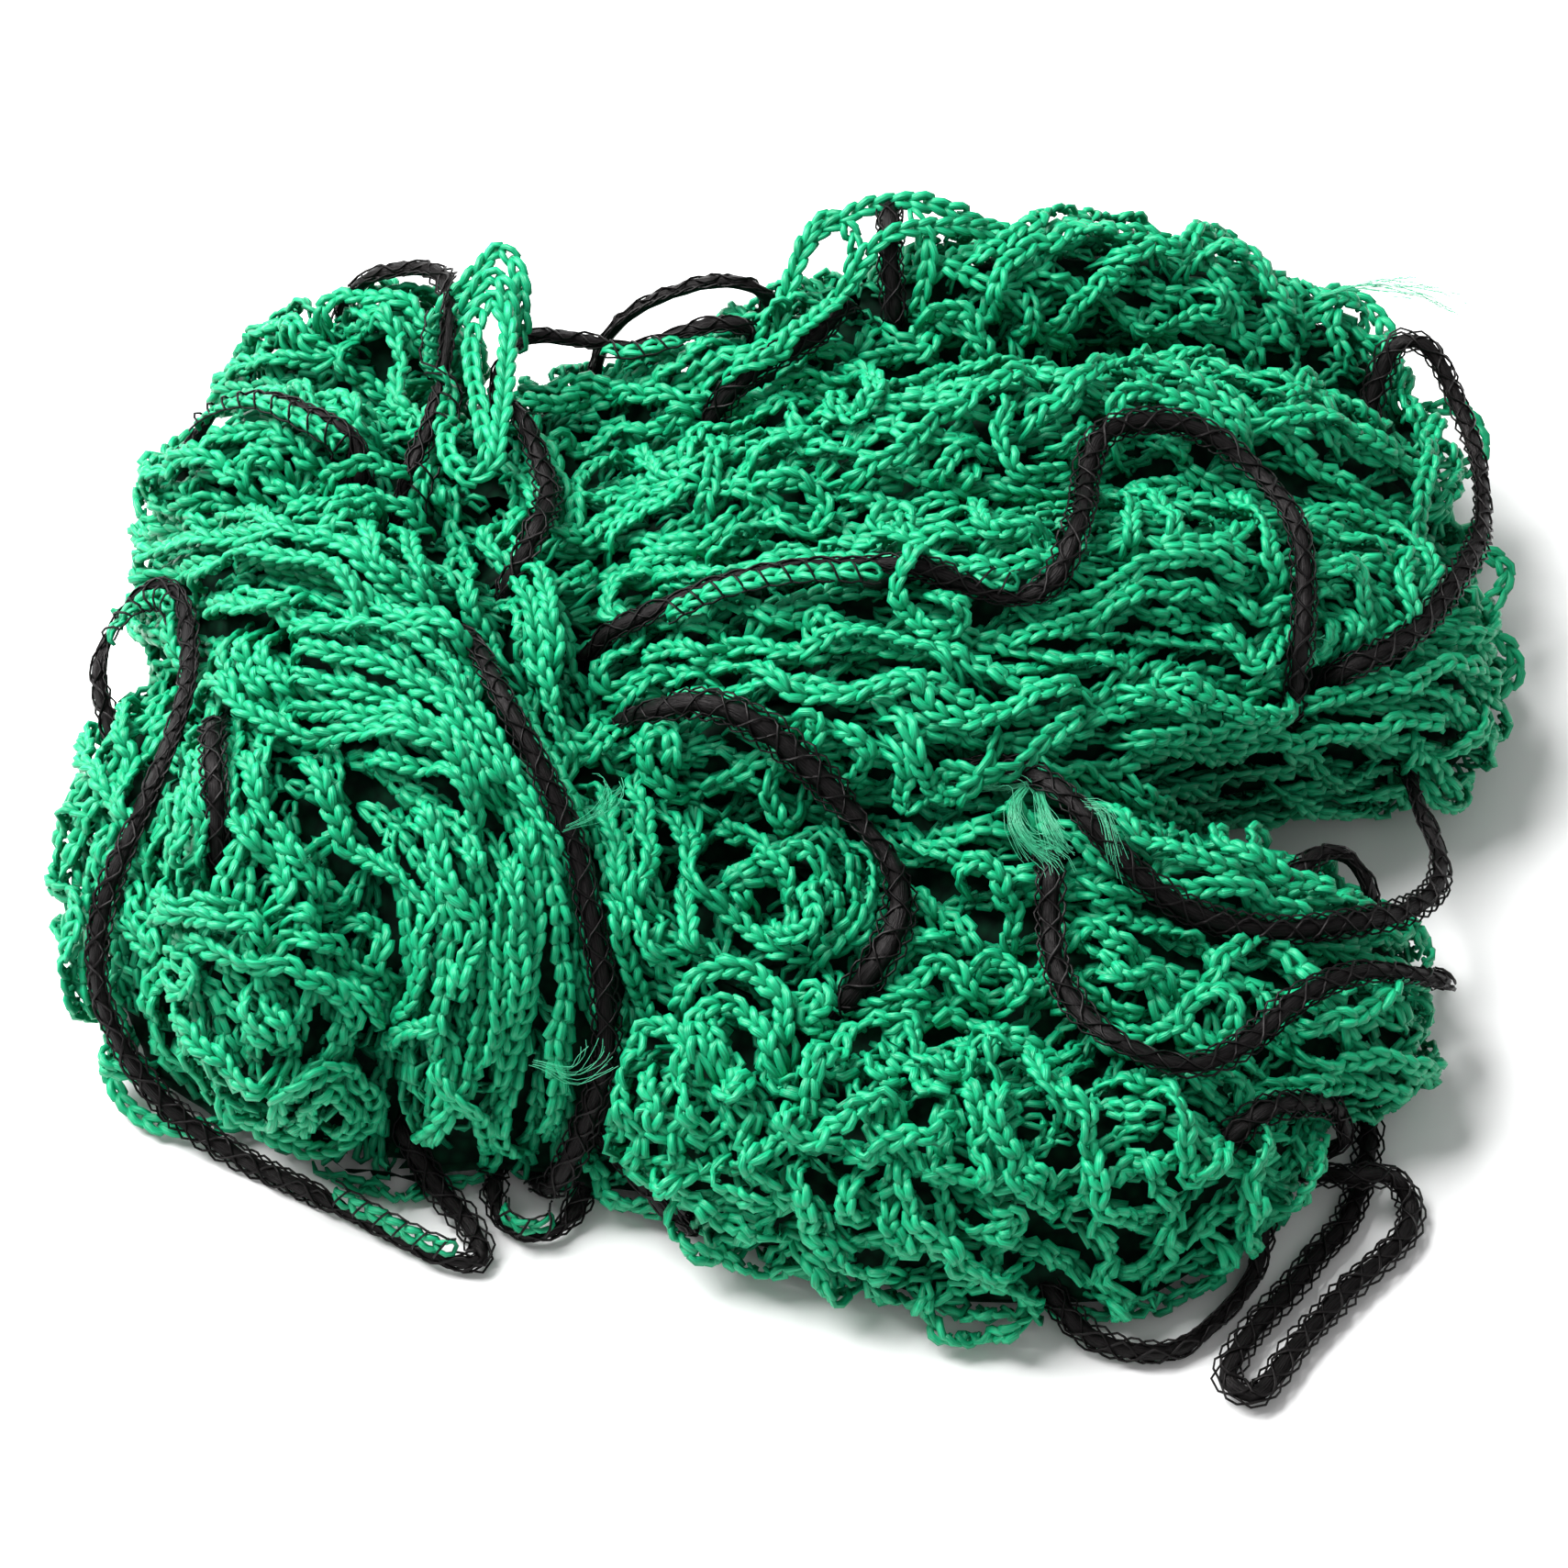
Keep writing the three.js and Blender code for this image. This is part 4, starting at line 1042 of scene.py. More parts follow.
    (2.0, [(1198, 1043), (1205, 1065), (1230, 1071), (1255, 1064), (1276, 1080), (1292, 1096)]),
    (1.6, [(1163, 1053), (1185, 1075), (1210, 1090), (1240, 1100), (1267, 1095)]),
    # roll
    (2.2, [(1282, 1150), (1310, 1159), (1335, 1141), (1345, 1115), (1336, 1090), (1315, 1080), (1294, 1087),
          (1284, 1106), (1287, 1130), (1303, 1140), (1320, 1130), (1323, 1112), (1312, 1102)]),
    (1.6, [(1303, 1078), (1325, 1060), (1347, 1044)]),
    (1.8, [(1400, 1138), (1420, 1150), (1440, 1160), (1460, 1150), (1485, 1145), (1512, 1151)]),
    (1.8, [(1405, 1130), (1425, 1115), (1450, 1110), (1475, 1105), (1500, 1095), (1522, 1084)]),
    (1.6, [(1438, 1180), (1460, 1175), (1485, 1181), (1512, 1180)]),
    (1.6, [(1278, 1218), (1285, 1240), (1280, 1265), (1295, 1285), (1312, 1268)]),
    (1.6, [(1363, 1208), (1381, 1230), (1370, 1256), (1355, 1280), (1350, 1312)]),
    (1.6, [(1158, 1188), (1175, 1215), (1185, 1245), (1191, 1277)]),
    # left
    (1.6, [(100, 828), (110, 850), (125, 880), (136, 905), (125, 928)]),
    (1.6, [(140, 828), (145, 860), (152, 884)]),
    (1.6, [(217, 848), (210, 880), (205, 910), (203, 942)]),
    (1.6, [(226, 868), (226, 900), (220, 932)]),
    (1.8, [(255, 848), (260, 885), (265, 910), (280, 935), (300, 945), (315, 960), (310, 980), (294, 986)]),
    (1.8, [(275, 850), (285, 880), (295, 905), (305, 925), (325, 945), (340, 970), (351, 1002)]),
    (1.8, [(180, 953), (193, 979), (220, 990), (252, 985)]),
    (1.6, [(198, 1000), (225, 1000), (250, 1005), (275, 1010), (290, 1030), (302, 1047)]),
    (1.6, [(200, 1021), (220, 1025), (245, 1035), (270, 1045), (300, 1055), (332, 1066)]),
    # small spiral
    (2.0, [(186, 1052), (200, 1072), (222, 1078), (236, 1062), (226, 1044), (206, 1042), (194, 1054)]),
    (1.8, [(166, 1030), (172, 1045), (185, 1035), (189, 1016), (176, 1010)]),
    (1.8, [(300, 1003), (322, 996), (342, 1010), (356, 1032)]),
    (1.8, [(310, 1021), (330, 1025), (350, 1030), (365, 1045), (387, 1056)]),
    (1.8, [(366, 1015), (383, 1005), (404, 1010), (417, 1022)]),
    # long strand
    (2.0, [(365, 898), (375, 915), (395, 930), (420, 940), (445, 950), (465, 970), (475, 990), (470, 1015),
          (470, 1040), (475, 1065), (465, 1090), (445, 1110), (425, 1130), (403, 1147)]),
    (1.8, [(438, 840), (465, 850), (485, 870), (500, 895), (522, 917)]),
    (1.8, [(480, 930), (490, 960), (505, 985), (518, 1010), (510, 1040), (500, 1070), (495, 1102)]),
    (1.8, [(500, 910), (515, 945), (526, 977)]),
    (1.8, [(540, 898), (545, 940), (540, 980), (535, 1020), (540, 1060), (535, 1102)]),
    (1.8, [(565, 880), (575, 920), (585, 960), (585, 1000), (582, 1040), (575, 1080), (560, 1120),
          (545, 1160), (528, 1202)]),
    (1.6, [(555, 918), (560, 970), (558, 1020), (555, 1062)]),
    (1.6, [(198, 1098), (220, 1120), (235, 1140), (250, 1160), (265, 1175), (290, 1180), (312, 1170)]),
    # ball curl
    (2.0, [(300, 1203), (306, 1180), (325, 1165), (345, 1155), (375, 1160), (395, 1180), (402, 1205),
          (395, 1230), (375, 1245), (350, 1255), (325, 1246), (307, 1226)]),
    (2.0, [(332, 1222), (325, 1200), (340, 1185), (360, 1180), (376, 1195), (370, 1215), (352, 1226)]),
    (1.6, [(278, 1108), (290, 1130), (296, 1157)]),
    (1.6, [(300, 1098), (310, 1120), (316, 1147)]),
    (1.6, [(358, 1058), (375, 1080), (385, 1100), (395, 1125), (407, 1142)]),
    (1.6, [(428, 1142), (450, 1130), (470, 1120), (492, 1104)]),
    (1.6, [(488, 1178), (508, 1195), (520, 1215), (531, 1237)]),
    (1.6, [(550, 1198), (555, 1230), (565, 1255), (582, 1277)]),
    # over the shoulder cord's end
    (4.6, [(345, 545), (368, 522), (393, 508), (420, 512), (447, 526)]),
    (4.6, [(352, 566), (378, 546), (402, 538), (428, 546), (445, 562)]),
    (4.2, [(352, 588), (378, 572), (402, 566), (425, 574)]),
    # hanging loop
    (4.6, [(1010, 596), (996, 618), (980, 636), (972, 652), (979, 668), (992, 682), (1010, 693), (1032, 692),
          (1049, 678), (1046, 662), (1030, 656), (1012, 664), (1000, 652), (992, 638)]),
    # front loop
    (4.2, [(952, 798), (974, 814), (985, 835), (986, 860), (996, 885), (1015, 896), (1031, 885),
          (1036, 865), (1042, 846), (1062, 836), (1085, 826), (1102, 814)]),
    (3.2, [(1000, 826), (1003, 850), (1014, 868), (1027, 856), (1030, 838)]),
    # ball of the back
    (3.0, [(903, 412), (925, 404), (946, 414), (954, 436), (946, 457), (930, 472), (914, 462), (908, 444)]),
]
PIXEL_STEP = 8
FEWEST_HITS = 6
BRIDGE_REACHES = (2, 4, 7)  # in steps to each side
BRIDGE_SLACK = 0.6 * MM
DEPTH_ROUNDS, NORMAL_ROUNDS = 6, 8


def route_on_skin(pixels):
    """Points and normals of a strand seen at these pixels."""
    flat = np.column_stack([np.array(pixels, float), np.zeros(len(pixels))])
    rays, depths, normals = [], [], []
    for u, v, _ in smooth_line(flat, PIXEL_STEP):
        ray = pixel_ray(float(u), float(v))
        place, normal, face, depth = skin.ray_cast(camera.location, ray)
        if place is None or thin_face[face]:
            continue
        rays.append(tuple(ray))
        depths.append(depth)
        normals.append(tuple(normal))
    if len(rays) < FEWEST_HITS:
        return None
    depths = np.array(depths)
    for reach in BRIDGE_REACHES:
        if len(depths) > 2 * reach:
            chord = 0.5 * (depths[:-2 * reach] + depths[2 * reach:])
            depths[reach:-reach] = np.minimum(depths[reach:-reach], chord + BRIDGE_SLACK)
    depths = soften(depths, DEPTH_ROUNDS)
    points = np.array(camera.location) + np.array(rays) * depths[:, None]
    return points, unit(soften(normals, NORMAL_ROUNDS))


features = []
for lift, pixels in FEATURES:
    route = route_on_skin(pixels)
    if route is not None:
        features.append((lift, *route))
print("strands that stand out:", len(features), "of", len(FEATURES))

# %% [markdown]
# ## Places already taken
# Strands of one layer keep a distance from each other. A grid of cells remembers where they lie, so that
# only the cells around a place have to be searched.

# %% Crowd
CORD_KEEP_OUT = 3.4 * MM
cord_tree = tree_of(np.vstack(list(cord_lines.values())))


class Crowd:
    """Remembers where strands lie, in cells, so that near ones are found fast."""

    def __init__(self, cell):
        self.cell = cell
        self.cells = {}

    def key(self, point):
        return tuple(int(math.floor(x / self.cell)) for x in point)

    def put(self, point, strand, number=0):
        """Keeps a point of a strand, with its number along the strand."""
        self.cells.setdefault(self.key(point), []).append((*point, strand, number))

    def put_line(self, line, strand):
        for point in line:
            self.put(tuple(point), strand)

    def around(self, point):
        """Every kept point of the cell and the 26 cells around it."""
        i, j, k = self.key(point)
        for x in (i - 1, i, i + 1):
            for y in (j - 1, j, j + 1):
                for z in (k - 1, k, k + 1):
                    yield from self.cells.get((x, y, z), ())

    def near(self, point, radius, ignore=None, after=None):
        """True if a kept point lies nearer than radius, apart from recent points of one strand."""
        limit = radius * radius
        for px, py, pz, strand, number in self.around(point):
            if strand == ignore and number > after:
                continue
            if (px - point[0]) ** 2 + (py - point[1]) ** 2 + (pz - point[2]) ** 2 < limit:
                return True
        return False


# %% [markdown]
# ## Ends that run on
# A strand that can be followed in the picture does not end where it is lost from sight. It is drawn on over
# the skin, turning slowly into the direction of its bunch, until it meets another strand or a cord.

# %% Ends of features
TRACE_STEP = 1.5 * MM
LONGEST_TAIL = 18 * MM
TAIL_TURN = 0.15
TAIL_MEETS = 2.2 * MM
TAIL_KEEP_OUT = 0.6 * CORD_KEEP_OUT
LOWEST_TRACE = 2 * MM
CURL_GAP = 4.2 * MM
LADDER_MARK = -1000


def carried_on(line, normals, crowd, mark):
    """A strand drawn on from its last point until it meets another strand or a cord."""
    points, sides = list(line), list(normals)
    point = Vector(line[-1])
    ahead = Vector(line[-1] - line[-4]).normalized()
    for _ in range(int(LONGEST_TAIL / TRACE_STEP)):
        place, normal, face, _ = skin.find_nearest(point + ahead * TRACE_STEP)
        if place is None or thin_face[face]:
            break
        if place.z < LOWEST_TRACE or cord_tree.find(place)[2] < TAIL_KEEP_OUT:
            break
        flow = Vector(skin_flow[face])
        ahead = ahead + TAIL_TURN * flow * (1 if flow.dot(ahead) > 0 else -1)
        ahead = (ahead - normal * ahead.dot(normal)).normalized()
        points.append(tuple(place))
        sides.append(tuple(normal))
        if crowd.near(place, TAIL_MEETS, ignore=mark, after=-1):
            break
        point = place
    return np.array(points), np.array(sides)


upper_crowd = Crowd(CURL_GAP)
for line, _ in ladder_strands:
    upper_crowd.put_line(line, LADDER_MARK)
for number, (_, line, _) in enumerate(features):
    upper_crowd.put_line(line, -1 - number)
for number, (lift, line, normals) in enumerate(features):
    line, normals = carried_on(line, normals, upper_crowd, -1 - number)
    line, normals = carried_on(line[::-1], normals[::-1], upper_crowd, -1 - number)
    upper_crowd.put_line(line, -1 - number)
    features[number] = (lift, line, normals)
print("features carried on:", round(sum(run_of(line)[-1] for _, line, _ in features), 2), "m")

# %% [markdown]
# ## Following the net's direction
# All other strands are traced: a walk over the skin in short steps. Without a curl it keeps to the
# direction of its bunch and sways with smooth noise, the more the bunch is tousled. With a curl it turns by
# itself and makes loops and bights. It ends where it comes too near another strand or a cord.

# %% Strand tracer
SHORTEST_STRAND = 14 * MM
SWAY_GAIN = 1.9
SWAY_WAVES = 46  # noise for each metre
MOST_SWAY = 1.0  # radians
DEEP_TOUSLE = 0.35
STEER = 0.45  # how soon a strand turns to a new direction
SHARP_TURN = -0.2  # the cosine at which a strand ends
LEAST_FLOW = 0.05
UNDERSIDE, FACING_DOWN = 1.5 * MM, -0.2
OWN_TAIL = 8  # steps behind its end that a strand may come near


def trace(seed, sign, longest, gap, crowd, mark, drift, curl=None, under=False, slant=0.0):
    """Follows the net's direction from a seed, one way. curl is a row of turns in radians, or nothing."""
    point = Vector(seed)
    ahead = None
    line = []
    for step in range(int(longest / TRACE_STEP)):
        place, normal, face, _ = skin.find_nearest(point)
        if place is None or thin_face[face]:
            break
        flow = Vector(skin_flow[face])
        flow = flow - normal * flow.dot(normal)
        if flow.length < LEAST_FLOW:
            break
        flow = flow.normalized() * sign
        if curl is None:
            tousle = skin_tousle[face] + (DEEP_TOUSLE if under else 0)
            sway = tousle * SWAY_GAIN * noise(place * SWAY_WAVES + drift)
            sway = max(-MOST_SWAY, min(MOST_SWAY, sway)) + slant * tousle
            flow = flow * math.cos(sway) + normal.cross(flow) * math.sin(sway)
            if ahead is not None:
                if flow.dot(ahead) < SHARP_TURN:
                    break
                flow = (1 - STEER) * ahead + STEER * flow
        elif ahead is not None:
            flow = ahead * math.cos(curl[step]) + normal.cross(ahead) * math.sin(curl[step])
        flow = (flow - normal * flow.dot(normal)).normalized()
        if place.z < UNDERSIDE and normal.z < FACING_DOWN:
            break
        if not under and cord_tree.find(place)[2] < CORD_KEEP_OUT:
            break
        if crowd.near(place, gap, ignore=mark, after=step - OWN_TAIL):
            break
        line.append((place.copy(), normal.copy()))
        ahead = flow
        point = place + flow * TRACE_STEP
    return line


def lay(line, crowd, mark, strands, shortest=SHORTEST_STRAND):
    """Keeps a traced line if it is long enough."""
    if len(line) * TRACE_STEP < shortest:
        return
    for number, (place, _) in enumerate(line):
        crowd.put(tuple(place), mark, number)
    strands.append((np.array([p for p, _ in line]), np.array([n for _, n in line])))


# %% [markdown]
# ## Layers and curls
# The strands lie in layers. A deep one passes below the cords and closes the heap. Two more run over the
# whole skin and cross each other, as the sides of the meshes do. Curls lie on them in the tousled bunches,
# and the strands that stand out come last and ride over everything.

# %% Layers
SEED_ROOM = 1.05  # shares of a layer's gap
STOP_ROOM = 0.8
CURL_STOP_ROOM = 0.9
CURL_RADIUS = 5.0 * MM
CURL_TRIES = 900
CURL_STEPS = (22, 48)
CURL_TURNS = (-1, 0, 0.4, -0.4, 1)  # shares of the tightest turn
CURL_TURN_STEPS = 6
CURL_ROUNDS = 4
CURL_TOUSLE = 0.45  # radians
LOWEST_CURL = 6 * MM
FILL_GAP = 6.6 * MM
FILL_LONGEST = 45 * MM
FILL_LAYERS = ((0.6, Vector((11, 5, 2))), (-0.8, Vector((2, 9, 6))))  # slant and noise drift
DEEP_GAP = 5.0 * MM
DEEP_LONGEST, DEEP_DRIFT = 60 * MM, Vector((3, 1, 7))
PATCH_LONGEST, PATCH_DRIFT = 20 * MM, Vector((9, 2, 4))  # short strands that close what is left open
SHORTEST_PATCH = 7 * MM
PATCH_MARK = 20000
dice = np.random.default_rng(11)


def lay_layer(crowd, gap, longest, drift, first_mark=0, under=False, shortest=SHORTEST_STRAND, slant=0.0):
    """Evenly spaced strands over the whole skin. Those under the cords don't stop at them."""
    strands = []
    for face in dice.permutation(len(skin_faces)):
        seed = skin_middles[face]
        if thin_face[face] or seed[2] < LOWEST_TRACE or crowd.near(seed, gap * SEED_ROOM):
            continue
        mark = first_mark + len(strands)
        forth, back = (
            trace(seed, sign, longest, gap * STOP_ROOM, crowd, mark, drift, under=under, slant=slant)
            for sign in (1, -1))
        lay(back[:0:-1] + forth, crowd, mark, strands, shortest)
    return strands


def lay_curls(crowd, gap):
    """Curling strands in the tousled bunches."""
    strands = []
    tousled = (skin_tousle > CURL_TOUSLE) & ~thin_face & (skin_middles[:, 2] > LOWEST_CURL)
    for face in dice.choice(np.flatnonzero(tousled), CURL_TRIES):
        seed = skin_middles[face]
        if crowd.near(seed, gap):
            continue
        steps = int(dice.uniform(*CURL_STEPS))
        tightest = TRACE_STEP / CURL_RADIUS
        turns = tightest * dice.choice(CURL_TURNS, steps // CURL_TURN_STEPS + 2)
        curl = soften(np.repeat(turns, CURL_TURN_STEPS), CURL_ROUNDS)
        mark = len(strands)
        sign = dice.choice((-1, 1))
        line = trace(seed, sign, steps * TRACE_STEP, gap * CURL_STOP_ROOM, crowd, mark, Vector(), curl)
        lay(line, crowd, mark, strands)
    return strands


curls = lay_curls(upper_crowd, CURL_GAP)
upper, crossing = (
    lay_layer(Crowd(FILL_GAP), FILL_GAP, FILL_LONGEST, drift, slant=slant) for slant, drift in FILL_LAYERS)
deep_crowd = Crowd(DEEP_GAP)
deep = lay_layer(deep_crowd, DEEP_GAP, DEEP_LONGEST, DEEP_DRIFT, under=True)
deep += lay_layer(deep_crowd, DEEP_GAP, PATCH_LONGEST, PATCH_DRIFT, PATCH_MARK, under=True,
                  shortest=SHORTEST_PATCH)
print("curls:", len(curls), "upper strands:", len(upper), "crossing:", len(crossing), "deep:", len(deep))

# %% [markdown]
# ## From a line to the shape of a strand
# A line on the skin is lifted to its layer, its two ends dive into the heap, and it gets small sways and
# a slow twist, since a loose chain of loops never lies quite flat. Where it meets a strand laid before, it
# rides over that one, and at a cord it passes below, unless its lift is high.

# %% Strand shapes
STACK_WIDTH = 3.5 * MM
STACK_HEIGHT = 2.3 * MM
HIGHEST_STACK = 4.5 * MM
LOWEST_STRAND = 1.7 * MM
MOST_CRUMPLE, MOST_DEEP_CRUMPLE = 1.1, 0.4  # crumple is the tousle in radians, up to a limit
CALM_SWAY, CALM_TWIST = 0.5, 0.6  # what is left of sways and twists where nothing is crumpled
LINE_ROUNDS, DEEP_LINE_ROUNDS, SIDE_ROUNDS, RISE_ROUNDS, CORD_ROUNDS = 3, 8, 12, 6, 4
END_LENGTH = 8  # in millimetres, as all lengths below
FREE_LENGTH, FREE_FROM = 9, 0.3
HIGH_LIFT = 3
CORD_REACH = 5.5
OVER_CORD, BELOW_CORD, DEEP_BELOW_CORD = 4.0, -6.0, -3.0
BOUNCE_WAVE, BOUNCE_TIGHTER = 21, 9  # and how much shorter the wave is where the net is crumpled
SWAY_WAVE, SWAY_TIGHTER = 17, 6
TWIST_WAVE, TWIST_TIGHTER = 30, 12
CRINKLE_UP_WAVE, CRINKLE_SIDE_WAVE = 7.5, 8.5
LEAST_CRINKLE, CRUMPLE_CRINKLE = 0.1, 0.3
TILT = 0.4  # radians
PHASES = (0, 6.3)
pile = Crowd(STACK_WIDTH)


def wander(run, wave):
    """A smooth random sway along a strand, about one unit high."""
    return (0.6 * np.sin(run / wave * 2 * math.pi + dice.uniform(*PHASES))
            + 0.4 * np.sin(run / wave * 3.5 * math.pi + dice.uniform(*PHASES)))


def ride_over(line, normals):
    """How far each point must rise to pass over the strands of the pile."""
    rise = np.zeros(len(line))
    for i, (point, normal) in enumerate(zip(line, normals)):
        near = np.array([kept[:3] for kept in pile.around(point)])
        if not len(near):
            continue
        offset = point - near
        above = offset @ normal
        apart = np.sqrt(np.maximum(0, (offset ** 2).sum(axis=1) - above ** 2))
        need = STACK_HEIGHT * np.sqrt(np.maximum(0, 1 - (apart / STACK_WIDTH) ** 2)) - above
        need[(apart > STACK_WIDTH) | (above < -STACK_WIDTH)] = 0
        rise[i] = min(HIGHEST_STACK, max(0, need.max()))
    spread = rise.copy()
    for shift in (1, 2):
        spread[shift:] = np.maximum(spread[shift:], rise[:-shift])
        spread[:-shift] = np.maximum(spread[:-shift], rise[shift:])
    return soften(spread, RISE_ROUNDS)


def past_cords(fine, lift, stacked):
    """How far each point moves up or down, in millimetres, to clear the cords."""
    near = np.array([cord_tree.find(point)[2] for point in fine]) / MM
    close = np.clip(1 - near / CORD_REACH, 0, 1)
    shift = OVER_CORD if lift > HIGH_LIFT else BELOW_CORD if stacked else DEEP_BELOW_CORD
    return soften(close * shift, CORD_ROUNDS)


def settle(line, normals, lift, bounce, sway, twist, dive, stacked=False, under=False):
    """The middle line and the upper side of a strand laid on the skin. Lengths are in millimetres."""
    middle_face = skin.find_nearest(Vector(line[len(line) // 2]))[2]
    crumple = min(MOST_DEEP_CRUMPLE if under else MOST_CRUMPLE, skin_tousle[middle_face])
    bounce, sway = bounce * (CALM_SWAY + crumple), sway * (CALM_SWAY + crumple)
    twist = twist * (CALM_TWIST + crumple)
    line = soften(line, LINE_ROUNDS if stacked else DEEP_LINE_ROUNDS)
    normals = unit(soften(normals, SIDE_ROUNDS))
    fine = evenly(line, STRAND_STEP)
    share = np.linspace(0, 1, len(fine))
    old = np.linspace(0, 1, len(line))
    normals = unit(np.column_stack([np.interp(share, old, normals[:, axis]) for axis in range(3)]))
    run = run_of(fine) / MM
    ends = taper(run, END_LENGTH, 0)
    ends = ends * ends * (3 - 2 * ends)
    crinkle = LEAST_CRINKLE + CRUMPLE_CRINKLE * crumple
    bend = bounce * wander(run, BOUNCE_WAVE - BOUNCE_TIGHTER * crumple)
    bend = bend + crinkle * wander(run, CRINKLE_UP_WAVE)
    height = (lift + bend) * ends - dive * (1 - ends)
    _, side, _ = frames(fine, normals)
    bend = sway * wander(run, SWAY_WAVE - SWAY_TIGHTER * crumple)
    bend = bend + crinkle * wander(run, CRINKLE_SIDE_WAVE)
    fine = fine + (height[:, None] * normals + bend[:, None] * side) * MM
    if stacked or under:
        fine = fine + past_cords(fine, lift, stacked)[:, None] * normals * MM
    if stacked:
        free = np.clip(np.minimum(run, run[-1] - run) / FREE_LENGTH - FREE_FROM, 0, 1)
        fine = fine + (free * ride_over(fine, normals))[:, None] * normals
        pile.put_line(fine, strand=0)
    fine[:, 2] = np.maximum(fine[:, 2], LOWEST_STRAND)
    turn = np.radians(twist) * wander(run, TWIST_WAVE - TWIST_TIGHTER * crumple) + dice.uniform(-TILT, TILT)
    _, side, upright = frames(fine, normals)
    return fine, upright * np.cos(turn)[:, None] + side * np.sin(turn)[:, None]


# %% [markdown]
# Now every layer is settled, from the fill upwards, so that each rides over what lies there before. The
# deep layer comes last because it stays below them all.

# %% Settled strands
FILL = dict(bounce=0.5, sway=0.8, twist=40, dive=5.0, stacked=True)
CURL = dict(bounce=0.8, sway=0.3, twist=40, dive=6.0, stacked=True)
FEATURE = dict(bounce=0.6, sway=0.6, twist=30, dive=6.0, stacked=True)
DEEP = dict(bounce=0.5, sway=0.5, twist=60, dive=3.0, under=True)
fill_strands = [settle(*strand, lift=-1.4, **FILL) for strand in upper]
fill_strands += [settle(*strand, lift=-0.6, **FILL) for strand in crossing]
fine_strands = [settle(*strand, lift=1.4, **CURL) for strand in curls]
fine_strands += [settle(*strand, lift=lift, **FEATURE) for lift, *strand in features]
deep_strands = [settle(*strand, lift=-2.8, **DEEP) for strand in deep]

rear_lines = [route_line(route, STRAND_STEP) for route in REAR_STRANDS]
fine_strands += [(line, facing(away, line)) for line in loop_lines + rear_lines]
fine_strands += ladder_strands
strand_length = sum(run_of(line)[-1] for line, _ in fine_strands + fill_strands + deep_strands)
print("strand length:", round(strand_length, 1), "m")

# %% [markdown]
# ## Chain stitches
# Each stitch is one loop of yarn: two legs come up through the loop before, swell to a plump drop and
# close in a head that goes down behind the next two legs. The rows give the half of one loop, from its
# root to its head; the other half mirrors it. Strands that lie below get fewer rings, and a stitch that
# lies wholly under other strands is left out.

# %% Stitch shape
STRAND_WIDTH = 4.1  # millimetres
LINK_PITCH = 3.5
LEG_HALF_WIDTH = 0.89
LEG_HALF_HEIGHT = 0.66
FINE_ROWS = np.array([
    # along (pitches), across (strand widths), lift (strand widths), girth
    (-0.18, 0.025, -0.21, 0.58),
    (0.10, 0.075, 0.03, 0.86),
    (0.44, 0.195, 0.165, 1.00),
    (0.80, 0.285, 0.165, 1.00),
    (1.12, 0.295, 0.04, 0.93),
    (1.36, 0.00, -0.10, 0.85),
])
PLAIN_ROWS = np.array([
    (-0.18, 0.025, -0.21, 0.62),
    (0.42, 0.19, 0.165, 1.08),
    (0.96, 0.30, 0.13, 1.08),
    (1.34, 0.00, -0.10, 0.90),
])
MIRROR = (1, -1, 1, 1)
PROBES = ((0, 0), (1.5, 0), (-1.5, 0), (0, 1.5), (0, -1.5))  # places on a stitch, in millimetres
COVER_RISE, COVER_REACH = 2.2 * MM, 2.6 * MM  # the ball above a place that is searched for cover
LEAST_COVER = 0.6 * MM
COVER_ASIDE = 1.5 * MM


def at(values, run, step):
    """Values of an evenly spaced row at any run along it."""
    place = np.clip(run / step, 0, len(values) - 1.001)
    low = place.astype(int)
    part = (place - low)[..., None]
    return values[low] * (1 - part) + values[low + 1] * part


def covered(place, over, cover):
    """True if a strand of the tree called cover passes over a place."""
    for point, _, _ in cover.find_range(Vector(place + COVER_RISE * over), COVER_REACH):
        offset = np.array(point) - place
        rise = offset @ over
        if rise > LEAST_COVER and offset @ offset - rise * rise < COVER_ASIDE ** 2:
            return True
    return False


def hidden(middles, ahead, side, over, cover):
    """Which stitches lie wholly under strands of the tree called cover."""
    return np.array([
        all(covered(middles[i] + (out * side[i] + on * ahead[i]) * MM, over[i], cover) for out, on in PROBES)
        for i in range(len(middles))])


# %% [markdown]
# ## Open sky
# Light falls into a heap of net only as far as it finds a way. Rays from a place on the skin count how much
# of the sky is open there, and the yarn gets painted shade, a darker colour, where it is little.

# %% Open sky
SKY = [(math.sin(tilt) * math.cos(turn), math.sin(tilt) * math.sin(turn), math.cos(tilt))
       for tilt in (0.6, 1.1) for turn in np.arange(6) * math.pi / 3]
SKY_REACH = 30 * MM
SKY_START = 2.5 * MM
open_shares = {}


def open_share(point):
    """How much of the sky is seen from the skin near a point, from 0 in a cave to 1 on a crest."""
    face = skin.find_nearest(Vector(point))[2]
    if face not in open_shares:
        normal = Vector(skin_normals[face])
        side = normal.orthogonal().normalized()
        start = Vector(skin_middles[face]) + SKY_START * normal
        rays = [x * side + y * normal.cross(side) + z * normal for x, y, z in SKY]
        open_shares[face] = sum(skin.ray_cast(start, ray, SKY_REACH)[0] is None for ray in rays) / len(rays)
    return open_shares[face]


print("rays to the sky:", len(SKY))

# %% [markdown]
# ## Knitting
# All stitches of a strand are made at once as one array. Each differs a little in size, lean and girth, as
# yarn does, and the last ones of a strand are thinner.

